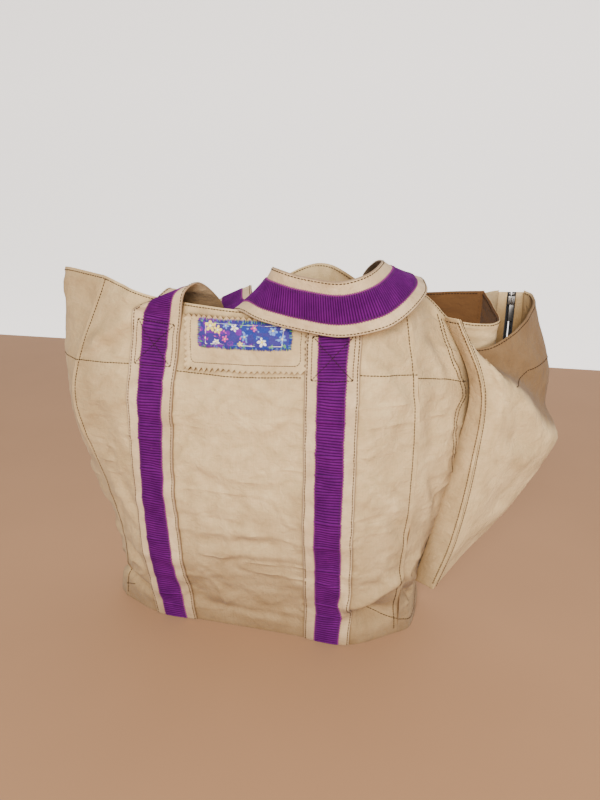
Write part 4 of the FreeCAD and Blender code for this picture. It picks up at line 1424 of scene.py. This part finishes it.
def cross_stitches(tag, strip, pieces):
    """A box and cross at the top of both runs."""
    span, inset = 38.0 / strip.height, 4.0 / strip.height
    top_left, top_right = pieces["left_run"][3], pieces["right_run"][2]
    lines = box_cross(strip, top_left - span - inset, top_left - inset)
    lines += box_cross(strip, top_right + inset, top_right + span + inset)
    stitches(tag + "_cross_stitches", lines, THREAD, "bag", pitch=2.7, length=2.3,
             radius=0.42, seed=9)


cross_stitches("front", front_strip, front_band)
cross_stitches("back", back_strip, back_band)


def level_row(surface, depth, inside=False):
    """A row of stitches along a whole wall, at one depth below its top edge."""
    if not inside:
        return line_on(surface, [0.0, 1.0], [1 - depth / surface.height] * 2, ON_CLOTH)
    p, n = line_on(surface, [0.01, 0.99], [1 - depth / surface.height] * 2, -2.6)
    return p, -n


def rows_on(surface, rows):
    """Rows of stitches, each as its places along the wall and up it."""
    return [line_on(surface, us, vs, ON_CLOTH) for us, vs in rows]


def seam_stitches():
    lines = rows_on(front, [
        # upright seams next to the side walls
        ([0.010, 0.010], [0.02, 0.995]),
        ([0.986, 0.986], [0.02, 0.995]),
        # lower edge of the turned-in facing, between the straps
        ([0.0, 0.075, 0.158], [0.805, 0.81, 0.818]),
        ([0.30, 0.50, 0.675], [0.812, 0.81, 0.822]),
        ([0.80, 0.90, 1.0], [0.832, 0.822, 0.812]),
    ])
    lines.append(level_row(front, HEM_ROW))
    # the boxed corners
    lines += rows_on(front, [([0.0, 0.055], [0.055, 0.075]), ([0.90, 0.95, 1.0], [0.10, 0.075, 0.055])])
    stitches("front_seam_stitches", lines, THREAD, "bag", seed=21)

    lines = rows_on(right, [([0.0, 0.205, 0.46], [0.822, 0.808, 0.80])])
    lines.append(level_row(right, HEM_ROW))
    # double row beside the pocket's near bellows, then the boxed corner
    edge_u = [0.62, 0.60, 0.50, 0.40, 0.37, 0.40, 0.462, 0.445, 0.38, 0.355]
    edge_v = [0.15, 0.30, 0.46, 0.60, 0.68, 0.72, 0.755, 0.792, 0.86, 0.97]
    lines += rows_on(right, [(edge_u, edge_v), ([u - 0.035 for u in edge_u], edge_v),
                             ([0.0, 0.30, 0.62], [0.055, 0.035, 0.10])])
    stitches("right_seam_stitches", lines, THREAD, "bag", seed=22)

    lines = [level_row(back, HEM_ROW), level_row(back, FACING_DEPTH)]
    stitches("back_seam_stitches", lines, THREAD, "bag", seed=23)

    # the same rows seen from the inside
    inside = []
    for surface in (front, right, back):
        inside += [level_row(surface, HEM_ROW, True), level_row(surface, FACING_DEPTH - 3, True)]
    stitches("inside_seam_stitches", inside, THREAD, "bag", seed=24)


def pocket_stitches():
    lines = [level_row(face, HEM_ROW)]
    lines += rows_on(face, [([0.262, 0.478, 0.682, 0.80], [0.755, 0.802, 0.775, 0.76]),
                            ([0.012, 0.012], [0.0, 1.0])])
    lines += rows_on(near, [([0.88, 0.88], [0.02, 0.99]), ([0.05, 0.95], [0.985, 0.985])])
    lines += rows_on(far, [([0.05, 0.95], [0.985, 0.985])])
    p, n = line_on(face, [0.02, 0.98], [1 - HEM_ROW / face.height] * 2, -2.6)
    lines.append((p, -n))
    stitches("pocket_stitches", lines, THREAD, "bag", seed=31)


def patch_stitches():
    path = rounded_rectangle(-PATCH["w"] / 2 + 7, 4.0, PATCH["w"] / 2 - 7, PATCH["h"] - 8, 5.0, 1.5)
    line = on_patch(path[:, 0], path[:, 1], 1.35)
    stitches("patch_stitches", [line], THREAD, "bag", pitch=2.6, length=2.2, radius=0.40,
             seed=41)


seam_stitches()
pocket_stitches()
patch_stitches()


# ----------------------------------------------------------------- bent straps
def bend_all(pieces, root_left, root_right):
    """Bakes the transforms of the pieces where the straps leave the top edge and go over into the loop.
    """
    for part, root in (("left_bend", root_left), ("right_bend", root_right)):
        canvas, ribbon, _v0, _v1, thread, edge_thread = pieces[part]
        for obj in (canvas, ribbon, thread, edge_thread):
            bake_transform(obj)


bend_all(front_band,
         ((-0.078, -0.078, 0.383), (-0.078, -0.062, 0.405)),
         ((0.100, -0.078, 0.383), (0.100, -0.062, 0.405)))
bend_all(back_band,
         ((-0.052, 0.069, 0.355), (-0.050, 0.052, 0.377)),
         ((0.128, 0.074, 0.385), (0.131, 0.056, 0.404)))


# -------------------------------------------------------------- floor and light
def stage_sheet(name, line, half, colours, glow):
    """Plain ground or backdrop: a profile of y and z, drawn out along x."""
    verts = [(x, y, z) for y, z in line for x in (-half, half)]
    faces = [(2 * k, 2 * k + 1, 2 * k + 3, 2 * k + 2) for k in range(len(line) - 1)]
    mesh = bpy.data.meshes.new(name)
    mesh.from_pydata(verts, [], faces)
    mesh.shade_smooth()
    obj = bpy.data.objects.new(name, mesh)
    bpy.context.scene.collection.objects.link(obj)
    mat, tree, shader = nodes_of(name)
    coord = tree.nodes.new("ShaderNodeTexCoord")
    shade = texture(tree, coord.outputs["Object"], 3.0, 3)
    tree.links.new(blend_colours(tree, shade, colours[0], colours[1]), shader.inputs["Base Color"])
    shader.inputs["Roughness"].default_value = 0.9
    shader.inputs["Emission Color"].default_value = (1.0, 0.95, 0.91, 1)
    shader.inputs["Emission Strength"].default_value = glow
    obj.data.materials.append(mat)


def stage():
    stage_sheet("ground", [(-7.0, 0.0), (1.3, 0.0)], 7.0,
                ((0.33, 0.17, 0.075, 1), (0.40, 0.21, 0.095, 1)), 0.03)
    rise = [(1.3 + math.sin(a), 1 - math.cos(a)) for a in np.linspace(0, math.pi / 2, 12)]
    stage_sheet("backdrop", rise + [(2.3, 5.0)], 7.0,
                ((0.78, 0.74, 0.71, 1), (0.80, 0.76, 0.73, 1)), 1.35)


def area_light(name, place, target, size, power, colour):
    data = bpy.data.lights.new(name, "AREA")
    data.shape = "RECTANGLE"
    data.size, data.size_y = size
    data.energy = power
    data.color = colour
    obj = bpy.data.objects.new(name, data)
    obj.location = place
    obj.rotation_euler = (Vector(target) - Vector(place)).to_track_quat("-Z", "Y").to_euler()
    bpy.context.scene.collection.objects.link(obj)


def lights():
    world = bpy.data.worlds.new("world")
    bpy.context.scene.world = world
    world.use_nodes = True
    back_node = world.node_tree.nodes["Background"]
    back_node.inputs[0].default_value = (1.0, 0.965, 0.94, 1)
    back_node.inputs[1].default_value = 0.30
    area_light("key", (0.30, -1.9, 1.12), (0.05, 0, 0.26), (0.8, 0.8), 80, (1.0, 0.965, 0.92))
    area_light("fill", (1.5, -1.5, 0.50), (0.05, 0, 0.28), (0.9, 0.5), 11, (1.0, 0.97, 0.94))


stage()
lights()

bpy.context.view_layer.update()
